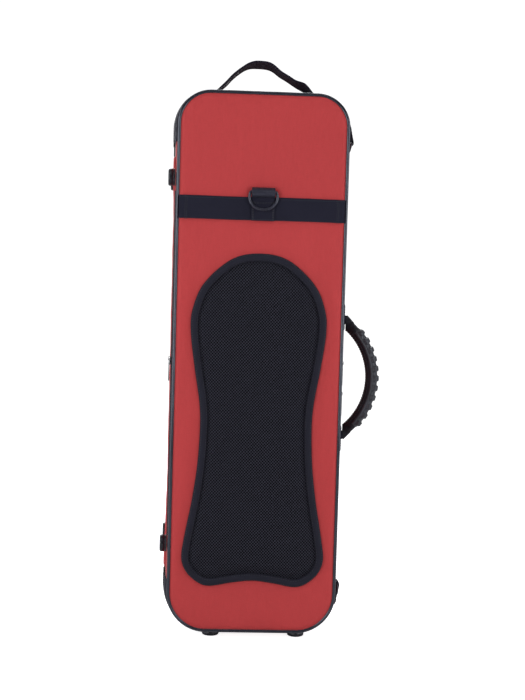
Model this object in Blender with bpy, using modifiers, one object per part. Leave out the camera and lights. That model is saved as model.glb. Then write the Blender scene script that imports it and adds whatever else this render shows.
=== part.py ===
"""Oblong violin case that stands on its end feet, carry handle towards +X, padded back towards -Y.

Metres, +Z up. Every piece is modelled about the middle of the case's back outline, and one
empty carries them all, so that the finished object is centred over its own footprint.
"""

import math

import bmesh
import bpy
from mathutils import Matrix, Vector

# ---- driving dimensions -------------------------------------------------------------------
CASE_WIDTH = 0.246
CASE_LENGTH = 0.780
FOOT_HEIGHT = 0.010  # the case's lower end stands this far above the ground
BACK_Y = -0.070  # outer face of the back
PART_Y = 0.012  # where body and lid meet
FRONT_Y = 0.070  # outer face of the lid
TOP_RADIUS = 0.0475
BOTTOM_RADIUS = 0.058
GAP = 0.0003  # between pieces that touch

SIDE_FLARE = 0.0045  # the side walls stand out this far at the parting plane
END_FLARE = 0.0010
PIPING_RADIUS = 0.00275
REBATE = 0.0058  # the shells step in by this much beside the piping
WALL = 0.0130  # foam wall at the rim
INNER_INSET = 0.0105  # inner floor's inset from the back outline
FLOOR = 0.0140  # thickness of the padded back and front
LINING = 0.0015

FRAME_SHIFT = Vector((-0.0241, 0.0040, 0.0))  # centres the object's box over the origin

PAD_THICKNESS = 0.0125
PAD_RIM_WIDTH = 0.0105
PAD_RIM_THICKNESS = 0.0060
BAND_TOP, BAND_BOTTOM = 0.6390, 0.6060
BAND_HALF_LENGTH = 0.1170
WEBBING = 0.0018
D_RING_X = 0.0012
D_RING_TAB_HALF_WIDTH = 0.0168
D_RING_AXIS = Vector((D_RING_X, -0.0780, 0.6475))

SIDE_FOOT_RADIUS = 0.0124
SIDE_FOOT_HEIGHTS = {"upper": 0.6669, "lower": 0.1343}
END_FOOT_X = {"left": -0.0575, "right": 0.0680}
BODY_FOOT_Y, LID_FOOT_Y = -0.0425, 0.0440

HINGE_X = -0.1290
HINGE_LOW, HINGE_HIGH = 0.0900, 0.7000
HANDLE_AXIS = Vector((0.1340, -0.0120, 0.3815))
HANDLE_CENTRE_X, HANDLE_RADIUS = 0.0710, 0.1010
HANDLE_SPREAD = math.radians(54.0)
TOP_HANDLE_AXIS = Vector((0.002, -0.0120, 0.7950))
TOP_HANDLE_LEAN = math.radians(12.0)

TAB_Y, TAB_WIDTH = -0.0090, 0.0200
RING_AXIS_X = 0.1308
RING_AXIS_Z = {"top": 0.7265, "bottom": 0.0706}
RING_WIRE = 0.0016
RING_DROP = 0.0160

BODY_FLOOR_Y = BACK_Y + FLOOR
LID_FLOOR_Y = FRONT_Y - 0.0120
INSERT_FLOOR_Y = BODY_FLOOR_Y + 0.0004 + LINING + 0.0004
INSERT_TOP_Y = -0.0020
BAY_END_Z = 0.4050
BOX_LID = 0.0025

ARC_STEPS = 6


# ---- scene, materials and outlines ---------------------------------------------------------
def clear_scene():
    for item in list(bpy.data.objects):
        bpy.data.objects.remove(item)


def make_collection(name):
    collection = bpy.data.collections.new(name)
    bpy.context.scene.collection.children.link(collection)
    return collection


def material(name, colour, roughness, metallic=0.0):
    made = bpy.data.materials.new(name)
    made.use_nodes = True
    shader = made.node_tree.nodes["Principled BSDF"]
    shader.inputs["Base Color"].default_value = (*colour, 1.0)
    shader.inputs["Roughness"].default_value = roughness
    shader.inputs["Metallic"].default_value = metallic
    made.diffuse_color = (*colour, 1.0)
    return made


def corner_arc(centre_x, centre_z, radius, start, end, steps=ARC_STEPS):
    """Points of an arc in the XZ plane, angles in degrees, both ends included."""
    points = []
    for step in range(steps + 1):
        angle = math.radians(start + (end - start) * step / steps)
        points.append((centre_x + radius * math.cos(angle), centre_z + radius * math.sin(angle)))
    return points


def right_side(side_inset, end_inset):
    """The case outline from the bottom's middle up the right side to the top's middle."""
    half_width = CASE_WIDTH / 2 - side_inset
    low = FOOT_HEIGHT + end_inset
    high = FOOT_HEIGHT + CASE_LENGTH - end_inset
    mean = (side_inset + end_inset) / 2
    bottom, top = BOTTOM_RADIUS - mean, TOP_RADIUS - mean
    lower = corner_arc(half_width - bottom, low + bottom, bottom, -90, 0)
    upper = corner_arc(half_width - top, high - top, top, 0, 90)
    return lower + upper


def case_outline(side_inset, end_inset=None):
    """The whole rounded outline, anticlockwise as (x, z)."""
    right = right_side(side_inset, side_inset if end_inset is None else end_inset)
    return right + [(-x, z) for x, z in reversed(right)]


def at_y(outline, y):
    return [(x, y, z) for x, z in outline]


def smooth_loop(points, per_span):
    """A closed Catmull-Rom curve through the points."""
    count = len(points)
    found = []
    for index in range(count):
        a, b, c, d = (Vector(points[(index + k - 1) % count]) for k in range(4))
        for step in range(per_span):
            t = step / per_span
            found.append(0.5 * (2 * b + (c - a) * t + (2 * a - 5 * b + 4 * c - d) * t**2
                                + (3 * b - 3 * c + d - a) * t**3))
    return [(p.x, p.y) for p in found]


def offset_inwards(points, distance):
    """The closed anticlockwise outline moved inwards along its normals."""
    moved = []
    for index, point in enumerate(points):
        before, after = Vector(points[index - 1]), Vector(points[(index + 1) % len(points)])
        along = (after - before).normalized()
        moved.append((point[0] - along.y * distance, point[1] + along.x * distance))
    return moved


def pad_outline():
    """The violin-shaped back cushion, anticlockwise from its lower notch."""
    right = [(0.030, 0.0835), (0.061, 0.0783), (0.079, 0.0835), (0.0955, 0.0985), (0.1028, 0.1190),
             (0.0990, 0.1510), (0.0895, 0.2040), (0.0830, 0.2550), (0.0805, 0.3080),
             (0.0825, 0.3450), (0.0910, 0.3970), (0.0972, 0.4460), (0.0950, 0.4780),
             (0.0790, 0.5150), (0.0410, 0.5490)]
    mirrored = [(-x, z) for x, z in reversed(right)]
    return smooth_loop([(0.0, 0.0868)] + right + [(0.0, 0.5582)] + mirrored, 2)


def violin_bay():
    """Right half of the violin-shaped bay, from the bottom's middle up to the neck."""
    bouts = [(0.046, 0.0375), (0.084, 0.0540), (0.102, 0.0850), (0.1045, 0.1180),
             (0.100, 0.1520), (0.083, 0.1800), (0.063, 0.2030), (0.0585, 0.2350),
             (0.066, 0.2640), (0.079, 0.2820), (0.0855, 0.3080), (0.0850, 0.3380),
             (0.0740, 0.3720), (0.048, 0.3930), (0.0240, 0.3985)]
    mirrored = [(-x, z) for x, z in reversed(bouts)]
    loop = smooth_loop([(0.0, 0.0360)] + bouts + mirrored, 2)
    return loop[: 2 * len(bouts) + 1]


# ---- ways of making a solid ----------------------------------------------------------------
def face_outwards(shape):
    bmesh.ops.recalc_face_normals(shape, faces=shape.faces)
    if shape.calc_volume(signed=True) < 0:
        bmesh.ops.reverse_faces(shape, faces=shape.faces)


def place(made, name, surface, origin):
    """Names an object, gives it its material and puts its origin on a point of its own."""
    made.name = name
    made.data.name = name
    made.data.materials.clear()
    made.data.materials.append(surface)
    made.data.transform(Matrix.Translation(-Vector(origin)))
    made.location = Vector(origin)
    made.parent = FRAME
    CASE.objects.link(made)
    return made


def from_bmesh(name, shape, surface, origin=(0, 0, 0)):
    face_outwards(shape)
    mesh = bpy.data.meshes.new(name)
    shape.to_mesh(mesh)
    shape.free()
    mesh.shade_smooth()
    mesh.set_sharp_from_angle(angle=math.radians(35))
    return place(bpy.data.objects.new(name, mesh), name, surface, origin)


def loft(name, rings, surface, origin=(0, 0, 0)):
    """A closed solid skinned over rings of equal count, with its first and last ring capped."""
    shape = bmesh.new()
    rows = [[shape.verts.new(point) for point in ring] for ring in rings]
    count = len(rows[0])
    for first, second in zip(rows, rows[1:]):
        for index in range(count):
            after = (index + 1) % count
            shape.faces.new((first[index], first[after], second[after], second[index]))
    shape.faces.new(rows[0])
    shape.faces.new(rows[-1])
    return from_bmesh(name, shape, surface, origin)


def box(name, low, high, surface, origin=(0, 0, 0), bevel=0.0):
    low, high = Vector(low), Vector(high)
    shape = bmesh.new()
    bmesh.ops.create_cube(shape, size=1.0)
    bmesh.ops.scale(shape, vec=high - low, verts=shape.verts)
    bmesh.ops.translate(shape, vec=(low + high) / 2, verts=shape.verts)
    made = from_bmesh(name, shape, surface, origin)
    if bevel:
        edge = made.modifiers.new("soft_edges", "BEVEL")
        edge.width = bevel
        edge.segments = 2
    return made


AXIS_TURN = {"X": (math.pi / 2, 0, math.pi / 2), "Y": (math.pi / 2, 0, 0), "Z": (0, 0, 0)}


def prism(name, loops, axis, start, end, surface, origin=(0, 0, 0)):
    """Flat outlines, the later ones holes, extruded along a row axis from start to end.

    Outlines hold (y, z) along X, (x, z) along Y and (x, y) along Z.
    """
    curve = bpy.data.curves.new(name, "CURVE")
    curve.dimensions = "2D"
    curve.fill_mode = "BOTH"
    curve.extrude = abs(end - start) / 2
    for loop in loops:
        spline = curve.splines.new("POLY")
        spline.points.add(len(loop) - 1)
        for point, (u, v) in zip(spline.points, loop):
            point.co = (u, v, 0, 1)
        spline.use_cyclic_u = True
    made = bpy.data.objects.new(name, curve)
    made.rotation_euler = AXIS_TURN[axis]
    middle = (start + end) / 2
    made.location = {"X": (middle, 0, 0), "Y": (0, middle, 0), "Z": (0, 0, middle)}[axis]
    mesh_object = as_mesh(made, name)
    return place(mesh_object, name, surface, origin)


def tube(name, points, radius, closed, surface, origin=(0, 0, 0), resolution=2):
    """A round bar along a list of points."""
    curve = bpy.data.curves.new(name, "CURVE")
    curve.dimensions = "3D"
    curve.bevel_depth = radius
    curve.bevel_resolution = resolution
    curve.use_fill_caps = not closed
    spline = curve.splines.new("POLY")
    spline.points.add(len(points) - 1)
    for point, place_at in zip(spline.points, points):
        point.co = (*place_at, 1)
    spline.use_cyclic_u = closed
    return place(bpy.data.objects.new(name, curve), name, surface, origin)


def as_mesh(made, name):
    """The evaluated mesh of an object in world space, welded, as a new object."""
    bpy.context.scene.collection.objects.link(made)
    bpy.context.view_layer.update()
    evaluated = made.evaluated_get(bpy.context.evaluated_depsgraph_get())
    mesh = bpy.data.meshes.new_from_object(evaluated)
    mesh.transform(made.matrix_world)
    shape = bmesh.new()
    shape.from_mesh(mesh)
    bmesh.ops.remove_doubles(shape, verts=shape.verts, dist=1e-6)
    face_outwards(shape)
    shape.to_mesh(mesh)
    shape.free()
    bpy.data.objects.remove(made)
    return bpy.data.objects.new(name, mesh)


def turned(name, profile, direction, base, surface, origin=None, steps=24):
    """A turned solid. The profile is (radius, height) from the axis at the tip to the axis at the base."""
    mesh = bpy.data.meshes.new(name)
    points = [(radius, 0, height) for radius, height in profile]
    mesh.from_pydata(points, [(i, i + 1) for i in range(len(points) - 1)], [])
    made = bpy.data.objects.new(name, mesh)
    turn = Vector((0, 0, 1)).rotation_difference(Vector(direction))
    screw = made.modifiers.new("turn", "SCREW")
    screw.steps = screw.render_steps = steps
    screw.use_merge_vertices = True
    screw.merge_threshold = 0.00001
    made.rotation_euler = turn.to_euler()
    made.location = base
    solid = as_mesh(made, name)
    solid.data.shade_smooth()
    solid.data.set_sharp_from_angle(angle=math.radians(35))
    return place(solid, name, surface, base if origin is None else origin)


def join(base, tool):
    """A union of two solids; the tool goes with the cutters."""
    union = base.modifiers.new("join", "BOOLEAN")
    union.operation = "UNION"
    union.solver = "EXACT"
    union.object = tool
    CASE.objects.unlink(tool)
    CUTTERS.objects.link(tool)
    tool.hide_render = True
    tool.display_type = "WIRE"


# ---- body ----------------------------------------------------------------------------------
def flare_at(y):
    """Side and end insets of the wall's outer face, negative where it flares outwards."""
    back, rim = (BACK_Y + 0.005, PART_Y) if y < PART_Y else (FRONT_Y - 0.005, PART_Y)
    share = (y - back) / (rim - back)
    return 0.0006 - share * (SIDE_FLARE + 0.0006), 0.0006 - share * (END_FLARE + 0.0006)


def wall_x(y):
    return CASE_WIDTH / 2 - flare_at(y)[0]


def shell(name, outer_y, step_y, rim_y, floor_y, surface):
    """A foam shell covered with cordura: outer wall, rim, inner wall and inner floor."""
    rings = [
        at_y(case_outline(REBATE), outer_y),
        at_y(case_outline(REBATE), step_y),
        at_y(case_outline(0.0006), step_y),
        at_y(case_outline(-SIDE_FLARE, -END_FLARE), rim_y),
        at_y(case_outline(WALL - SIDE_FLARE), rim_y),
        at_y(case_outline(INNER_INSET), floor_y),
    ]
    return loft(name, rings, surface)


def lining(name, floor_y, rim_y, surface):
    """A thin plush skin inside a shell."""
    into = 1 if rim_y > floor_y else -1
    rim_inset = WALL - SIDE_FLARE + 0.0004
    rings = [
        at_y(case_outline(INNER_INSET + 0.0004), floor_y + into * 0.0004),
        at_y(case_outline(rim_inset), rim_y),
        at_y(case_outline(rim_inset + LINING), rim_y),
        at_y(case_outline(INNER_INSET + 0.0004 + LINING), floor_y + into * (0.0004 + LINING)),
    ]
    return loft(name, rings, surface)


def piping(name, y, surface):
    outline = case_outline(PIPING_RADIUS)
    return tube(name, at_y(outline, y), PIPING_RADIUS, True, surface, resolution=1)


def make_body_shell():
    shell("body_shell", BACK_Y + 0.0005, BACK_Y + 0.0050, PART_Y - GAP, BODY_FLOOR_Y, RED_FABRIC)
    lining("body_lining", BODY_FLOOR_Y, PART_Y - 0.0008, PLUSH)
    prism("back_panel", [case_outline(0.0053)], "Y", BACK_Y - 0.0012, BACK_Y + GAP / 2, RED_FABRIC)
    piping("back_piping", BACK_Y + 0.0020, BLACK_VINYL)


def make_back_pad():
    outline = pad_outline()
    inner = PAD_RIM_WIDTH + GAP
    seat = BACK_Y - 0.0015
    rings = [
        at_y(offset_inwards(outline, inner), seat),
        at_y(offset_inwards(outline, inner), BACK_Y - 0.6 * PAD_THICKNESS),
        at_y(offset_inwards(outline, inner + 0.003), BACK_Y - 0.9 * PAD_THICKNESS),
        at_y(offset_inwards(outline, inner + 0.009), BACK_Y - PAD_THICKNESS - 0.0015),
    ]
    loft("back_pad", rings, MESH_FABRIC)
    hole = offset_inwards(outline, PAD_RIM_WIDTH)
    prism("back_pad_rim", [outline, hole], "Y", BACK_Y - PAD_RIM_THICKNESS, seat, BLACK_FABRIC)


def make_back_band():
    front = BACK_Y - 0.0015
    box("back_band", (-BAND_HALF_LENGTH, front - WEBBING, BAND_BOTTOM),
        (BAND_HALF_LENGTH, front, BAND_TOP), WEBBING_BLACK)
    y, z = D_RING_AXIS.y, D_RING_AXIS.z
    back = front - WEBBING - GAP
    leg = back - WEBBING
    bar_hole = corner_arc(y, z, 0.0027, 0, 330, 11)
    outline = [(back, BAND_BOTTOM), (back, z + 0.003), (y + 0.0026, z + 0.0052), (y, z + 0.0058),
               (y - 0.0028, z + 0.0048), (y - 0.0044, z + 0.002), (y - 0.0044, z - 0.002),
               (y - 0.0025, z - 0.0052), (leg, z - 0.0075), (leg, BAND_BOTTOM)]
    prism("d_ring_tab", [outline, bar_hole], "X", D_RING_X - D_RING_TAB_HALF_WIDTH,
          D_RING_X + D_RING_TAB_HALF_WIDTH, WEBBING_BLACK)


def make_back_d_ring():
    """A bent-wire ring whose straight bar runs through the tab; it hangs over the band."""
    half, drop, corner = 0.0198, 0.0251, 0.0025
    bow = corner_arc(half - 0.017, -drop + 0.017, 0.017, -8, -90, 5)
    bar_end = corner_arc(half - corner, -corner, corner, 90, 0, 3)
    right = bar_end + bow
    left = [(-x, z) for x, z in reversed(right)]
    points = [(D_RING_AXIS.x + x, D_RING_AXIS.y, D_RING_AXIS.z + z) for x, z in right + left]
    tube("back_d_ring", points, 0.0022, True, BLACK_METAL, origin=D_RING_AXIS)


def make_hinge_strip():
    """The body's half of the fabric hinge, sewn along the left wall."""
    low = (HINGE_X, PART_Y - 0.0070, HINGE_LOW)
    high = (HINGE_X + 0.0012, PART_Y - GAP, HINGE_HIGH)
    box("hinge_strip", low, high, RED_FABRIC)


def zip_tape(name, start_y, end_y):
    """Zip tape along the parting plane, from one end of the fabric hinge round to the other."""
    paths = []
    for lift in (GAP, 0.0015):
        right = right_side(-SIDE_FLARE - lift, -END_FLARE - lift)
        half = len(right) // 2
        lower_left = [(-x, z) for x, z in reversed(right[:half])]
        upper_left = [(-x, z) for x, z in reversed(right[half:])]
        paths.append([(lower_left[0][0], HINGE_LOW - 0.0030)] + lower_left + right + upper_left
                     + [(upper_left[-1][0], HINGE_HIGH + 0.0030)])
    prism(name, [paths[0] + paths[1][::-1]], "Y", start_y, end_y, ZIP_TAPE)


def make_pocket_zip():
    """The back pocket's zip, just behind the piping on the left wall."""
    face = -wall_x(-0.0525) - 0.0004
    coil = face - 0.0007
    outline = [(face, -0.0640), (face, -0.0525), (coil, -0.0525), (coil, -0.0565),
               (coil - 0.0007, -0.0567), (coil - 0.0007, -0.0593), (coil, -0.0595), (coil, -0.0640)]
    prism("pocket_zip_tape", [outline], "Z", 0.1500, 0.6500, ZIP_TAPE)
    slider_face = coil - 0.0007 - GAP
    slide_z = 0.4035
    box("pocket_zip_slider", (slider_face - 0.0010, -0.0620, slide_z - 0.0060),
        (slider_face, -0.0540, slide_z + 0.0060), BLACK_METAL, (slider_face, -0.058, slide_z), 0.0003)
    hinge = Vector((slider_face - 0.0020, -0.0580, slide_z + 0.0030))
    box("pocket_zip_pull", hinge + Vector((-0.00065, -0.0022, -0.0325)),
        hinge + Vector((0.00065, 0.0022, 0.00065)), BLACK_METAL, hinge, 0.0003)


def make_handle_anchors():
    """Sewn patches that hold the carry handle's two ends."""
    face = wall_x(0.003) + 0.0003
    for name, side in (("upper", 1), ("lower", -1)):
        middle = HANDLE_AXIS.z + side * 0.0900
        box(f"handle_anchor_{name}", (face, -0.0270, middle - 0.0190),
            (face + 0.0013, 0.0030, middle + 0.0190), WEBBING_BLACK)
    for name, middle in (("left", -0.0625), ("right", 0.0645)):
        low = FOOT_HEIGHT + CASE_LENGTH + 0.0010
        box(f"top_handle_anchor_{name}", (middle - 0.0125, -0.0245, low),
            (middle + 0.0110, 0.0005, low + 0.0013), WEBBING_BLACK)


def foot_profile(radius, height):
    """Tip to base: a rounded rim, straight side, and a slightly wider seat."""
    rim = 0.0026
    rounded = corner_arc(radius - rim, height - rim, rim, 90, 0, 3)
    return [(0, height)] + rounded + [(radius, 0.0018), (radius, 0), (0, 0)]


def make_feet():
    for part, y, tip in (("body", BODY_FOOT_Y, 0.1350), ("lid", LID_FOOT_Y, 0.1338)):
        nearest = PART_Y if abs(y - PART_Y) < SIDE_FOOT_RADIUS else y + math.copysign(
            SIDE_FOOT_RADIUS, PART_Y - y)
        base = wall_x(nearest) + 0.0004
        for height_name, z in SIDE_FOOT_HEIGHTS.items():
            turned(f"{part}_side_foot_{height_name}", foot_profile(SIDE_FOOT_RADIUS, tip - base),
                   (-1, 0, 0), (-base, y, z), BLACK_RUBBER)
        top = FOOT_HEIGHT + flare_at(nearest)[1] - 0.0004
        for side, x in END_FOOT_X.items():
            turned(f"{part}_end_foot_{side}", foot_profile(SIDE_FOOT_RADIUS, top), (0, 0, -1),
                   (x, y, top), BLACK_RUBBER)


def make_corner_tab(level):
    """A folded webbing tab sewn round a corner on the handle's side, with a round eye for its ring."""
    axis_z = RING_AXIS_Z[level]
    up = 1 if level == "top" else -1
    inner = right_side(-0.0041, -0.0041)
    outer = right_side(-0.0058, -0.0058)
    chosen = range(7, 10) if level == "top" else range(6, 3, -1)
    tail_in = [inner[i] for i in chosen]
    tail_out = [outer[i] for i in chosen]
    eye = 0.0037
    around = corner_arc(RING_AXIS_X, axis_z, eye, 180, 360 if up > 0 else 0, 8)
    neck = [(RING_AXIS_X + eye, axis_z + up * 0.003), (RING_AXIS_X + 0.001, axis_z + up * 0.0070),
            (outer[6][0], axis_z + up * 0.0095)]
    outline = tail_in[::-1] + [(RING_AXIS_X - eye, tail_in[0][1])] + around + neck + tail_out
    hole = corner_arc(RING_AXIS_X, axis_z, 0.0020, 0, 315, 7)
    prism(f"corner_tab_{level}", [outline, hole], "Y", TAB_Y - TAB_WIDTH / 2,
          TAB_Y + TAB_WIDTH / 2, WEBBING_BLACK)


def make_corner_ring(level):
    """A D-ring through the tab's eye. The top one leans on the wall; the bottom one hangs over its tab."""
    axis = Vector((RING_AXIS_X, TAB_Y, RING_AXIS_Z[level]))
    tilt = math.radians(-6.8 if level == "top" else 1.4)
    half, corner = TAB_WIDTH / 2 + 0.0021, 0.0016
    bow = corner_arc(half - 0.009, -RING_DROP + 0.009, 0.009, 0, -90, 4)
    right = corner_arc(half - corner, -corner, corner, 90, 0, 2) + bow
    flat = right + [(-u, v) for u, v in reversed(right)]
    points = []
    for u, v in flat:
        points.append((axis.x - v * math.sin(tilt), axis.y + u, axis.z + v * math.cos(tilt)))
    tube(f"corner_ring_{level}", points, RING_WIRE, True, BLACK_METAL, origin=axis, resolution=1)


# ---- inside the body -----------------------------------------------------------------------
def make_insert(side):
    """Half of the foam block, cut to the violin's outline and covered in plush."""
    sign = 1 if side == "right" else -1
    bay = violin_bay()
    bay[0] = (GAP, bay[0][1])
    outer = [point for point in right_side(0.0128, 0.0128) if point[1] < BAY_END_Z]
    corner_x = outer[-1][0]
    loop = [(GAP, outer[0][1])] + outer + [(corner_x, BAY_END_Z), (bay[-1][0], BAY_END_Z)] + bay[::-1]
    loop = [(sign * x, z) for x, z in loop]
    prism(f"insert_{side}", [loop], "Y", INSERT_FLOOR_Y, INSERT_TOP_Y, PLUSH)


def cup(name, low, high, wall, surface):
    """An open box, its mouth towards +Y."""
    def rectangle(inset, y):
        return [(low[0] + inset, y, low[2] + inset), (high[0] - inset, y, low[2] + inset),
                (high[0] - inset, y, high[2] - inset), (low[0] + inset, y, high[2] - inset)]
    rings = [rectangle(0, low[1]), rectangle(0, high[1]), rectangle(wall, high[1]),
             rectangle(wall, low[1] + wall)]
    return loft(name, rings, surface)


def make_boxes():
    """The accessory boxes and their padded lids."""
    top_low, top_high = (-0.0800, INSERT_FLOOR_Y, 0.7115), (0.0800, -0.0130, 0.7765)
    cup("top_box", top_low, top_high, 0.0030, PLUSH)
    lid_y = top_high[1] + GAP
    outside = lid_y + BOX_LID
    box("top_box_lid", (top_low[0], lid_y, top_low[2]), (top_high[0], outside, top_high[2]),
        PLUSH, (0, outside, top_high[2]))
    side_low, side_high = (-0.1095, INSERT_FLOOR_Y, 0.4150), (-0.0420, -0.0210, 0.6550)
    cup("side_box", side_low, side_high, 0.0030, PLUSH)
    lid_y = side_high[1] + GAP
    outside = lid_y + BOX_LID
    box("side_box_lid", (side_low[0], lid_y, side_low[2]), (side_high[0], outside, side_high[2]),
        PLUSH, (side_low[0], outside, 0.535))


def make_neck_holder():
    """A notched block under the neck, and the strap that closes over it."""
    half, notch, top = 0.0340, 0.0165, -0.0125
    outline = [(-half, INSERT_FLOOR_Y), (half, INSERT_FLOOR_Y), (half, top), (notch, top),
               (notch, -0.0330), (0.0100, -0.0390), (-0.0100, -0.0390), (-notch, -0.0330),
               (-notch, top), (-half, top)]
    prism("neck_cradle", [outline], "Z", 0.4700, 0.5100, PLUSH)
    hinge = Vector((0.0345, -0.0103, 0.4900))
    box("neck_strap", (-0.0300, -0.0112, 0.4800), (0.0340, -0.0094, 0.5000), BLACK_FABRIC, hinge)


# ---- lid -----------------------------------------------------------------------------------
def make_lid():
    shell("lid_shell", FRONT_Y - 0.0005, FRONT_Y - 0.0050, PART_Y + GAP, LID_FLOOR_Y, RED_FABRIC)
    lining("lid_lining", LID_FLOOR_Y, PART_Y + 0.0008, PLUSH)
    prism("lid_panel", [case_outline(0.0053)], "Y", FRONT_Y - GAP / 2, FRONT_Y + 0.0012, RED_FABRIC)
    piping("lid_piping", FRONT_Y - 0.0020, BLACK_VINYL)


def make_lid_pocket_zip():
    """The music pocket's zip across the front, with its slider and pull."""
    z, face = 0.6610, FRONT_Y + 0.0015
    tape = face + 0.0007
    coil = tape + 0.0007
    outline = [(face, z - 0.0060), (tape, z - 0.0060), (tape, z - 0.0015), (coil, z - 0.0013),
               (coil, z + 0.0013), (tape, z + 0.0015), (tape, z + 0.0060), (face, z + 0.0060)]
    prism("lid_pocket_zip", [outline], "X", -0.0850, 0.0850, ZIP_TAPE)
    slider, x = coil + GAP, -0.0720
    box("lid_zip_slider", (x - 0.0060, slider, z - 0.0040), (x + 0.0060, slider + 0.0011, z + 0.0040),
        BLACK_METAL, (x, slider, z), 0.0003)
    hinge = Vector((x, slider + 0.0021, z))
    box("lid_zip_pull", hinge + Vector((-0.0022, -0.00065, -0.0320)),
        hinge + Vector((0.0022, 0.00065, 0.00065)), BLACK_METAL, hinge, 0.0003)


def make_main_sliders():
    """Two sliders of the main zip, parked in the middle of the right side."""
    face = CASE_WIDTH / 2 + SIDE_FLARE + 0.0015 + GAP
    for name, z in (("upper", 0.3980), ("lower", 0.3520)):
        box(f"main_zip_slider_{name}", (face, PART_Y - 0.0045, z - 0.0065),
            (face + 0.0015, PART_Y + 0.0045, z + 0.0065), BLACK_METAL, (face, PART_Y, z), 0.0003)
        hinge = Vector((face + 0.0026, PART_Y, z + 0.0030))
        box(f"main_zip_pull_{name}", hinge + Vector((-0.00065, -0.0025, -0.0340)),
            hinge + Vector((0.00065, 0.0025, 0.00065)), BLACK_METAL, hinge, 0.0003)


def make_bow_holders():
    """Turning latches over the bow sticks, and the ribbon that takes their tips."""
    floor = LID_FLOOR_Y - 0.0004 - LINING - 0.0004
    z = 0.1650
    for side, x in (("left", -0.0450), ("right", 0.0450)):
        profile = [(0, 0.0160), (0.0070, 0.0160), (0.0090, 0.0030), (0.0090, 0), (0, 0)]
        name = f"bow_spinner_{side}"
        post = turned(name, profile, (0, -1, 0), (x, floor, z), BLACK_PLASTIC, steps=16)
        ends = corner_arc(x + 0.0160, z, 0.0060, -90, 90, 6) + corner_arc(x - 0.0160, z, 0.0060, 90, 270, 6)
        arm = prism(f"{name}_arm", [ends], "Y", floor - 0.0200, floor - 0.0145, BLACK_PLASTIC,
                    origin=(x, floor, z))
        join(post, arm)
    thick, rise = 0.0014, 0.0080
    path = [(-0.0850, 0), (-0.0700, 0), (-0.0650, rise), (-0.0250, rise), (-0.0200, 0), (0.0200, 0),
            (0.0250, rise), (0.0650, rise), (0.0700, 0), (0.0850, 0)]
    near = [(x, floor - lift) for x, lift in path]
    far = [(x, floor - lift - thick) for x, lift in path]
    prism("bow_tip_pocket", [near + far[::-1]], "Z", 0.6700, 0.7000, PLUSH)


# ---- handles -------------------------------------------------------------------------------
def handle_station(share, radial, across, start=-180.0, end=150.0, steps=11, lift=0.0):
    """An elliptical section of the carry handle; share runs from -1 at its lower end to 1."""
    angle = share * HANDLE_SPREAD
    ease = max(0.0, (abs(share) - 0.6) / 0.4)
    ease = ease * ease * (3 - 2 * ease)
    outwards = angle + (math.copysign(math.pi / 2, share) - angle) * ease
    middle = Vector((HANDLE_CENTRE_X + HANDLE_RADIUS * math.cos(angle), HANDLE_AXIS.y,
                     HANDLE_AXIS.z + HANDLE_RADIUS * math.sin(angle)))
    out = Vector((math.cos(outwards), 0, math.sin(outwards)))
    ring = []
    for step in range(steps + 1):
        turn = math.radians(start + (end - start) * step / steps)
        ring.append(middle + out * ((radial + lift) * math.cos(turn))
                    + Vector((0, (across + lift) * math.sin(turn), 0)))
    return ring


CORE_RADIAL, CORE_ACROSS, CORE_END_ACROSS = 0.0082, 0.0125, 0.0038


def make_carry_handle():
    stations = 20
    rings = []
    for index in range(stations + 1):
        share = -1 + 2 * index / stations
        taper = max(0.0, (abs(share) - 0.72) / 0.28)
        across = CORE_ACROSS + (CORE_END_ACROSS - CORE_ACROSS) * taper
        rings.append(handle_station(share, CORE_RADIAL, across))
    loft("side_handle_core", rings, BLACK_FABRIC, origin=HANDLE_AXIS)
    ribs, reach = 10, 0.62
    rings = []
    for index in range(4 * ribs + 1):
        share = -reach + 2 * reach * index / (4 * ribs)
        rib = index % 4 in (1, 2)
        inside = handle_station(share, CORE_RADIAL, CORE_ACROSS, 80, -80, 6, GAP + 0.0001)
        outside = handle_station(share, CORE_RADIAL, CORE_ACROSS, -80, 80, 6, 0.0030 if rib else 0.0014)
        rings.append(inside + outside)
    loft("side_handle_grip", rings, BLACK_RUBBER, origin=HANDLE_AXIS)


def make_top_handle():
    """A webbing loop over the top, leaning a little towards the lid."""
    path = [(-0.0575, 0.0015), (-0.0520, 0.0100), (-0.0420, 0.0220), (-0.0280, 0.0355),
            (-0.0180, 0.0400), (-0.0070, 0.0418), (0.0040, 0.0405), (0.0140, 0.0365),
            (0.0260, 0.0285), (0.0440, 0.0180), (0.0600, 0.0085), (0.0640, 0.0015)]
    thick = 0.0024
    lean_up = Vector((0, math.sin(TOP_HANDLE_LEAN), math.cos(TOP_HANDLE_LEAN)))
    across = Vector((0, math.cos(TOP_HANDLE_LEAN), -math.sin(TOP_HANDLE_LEAN)))
    rings = []
    for index, (x, height) in enumerate(path):
        before = path[max(index - 1, 0)]
        after = path[min(index + 1, len(path) - 1)]
        along = Vector((after[0] - before[0], after[1] - before[1])).normalized()
        normal = Vector((-along.y, 0, 0)) + lean_up * along.x
        middle = Vector((x, TOP_HANDLE_AXIS.y, TOP_HANDLE_AXIS.z)) + lean_up * height
        half = 0.0125 if 0 < index < len(path) - 1 else 0.0030
        half = 0.0070 if index in (1, len(path) - 2) else half
        corners = ((-half, -thick / 2), (half, -thick / 2), (half, thick / 2), (-half, thick / 2))
        rings.append([middle + across * u + normal * v for u, v in corners])
    loft("top_handle_strap", rings, WEBBING_BLACK, origin=TOP_HANDLE_AXIS)


# ---- build ---------------------------------------------------------------------------------
clear_scene()
CASE = make_collection("violin_case")
CUTTERS = make_collection("cutters")
FRAME = bpy.data.objects.new("violin_case_frame", None)
CASE.objects.link(FRAME)
FRAME.location = FRAME_SHIFT

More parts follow.
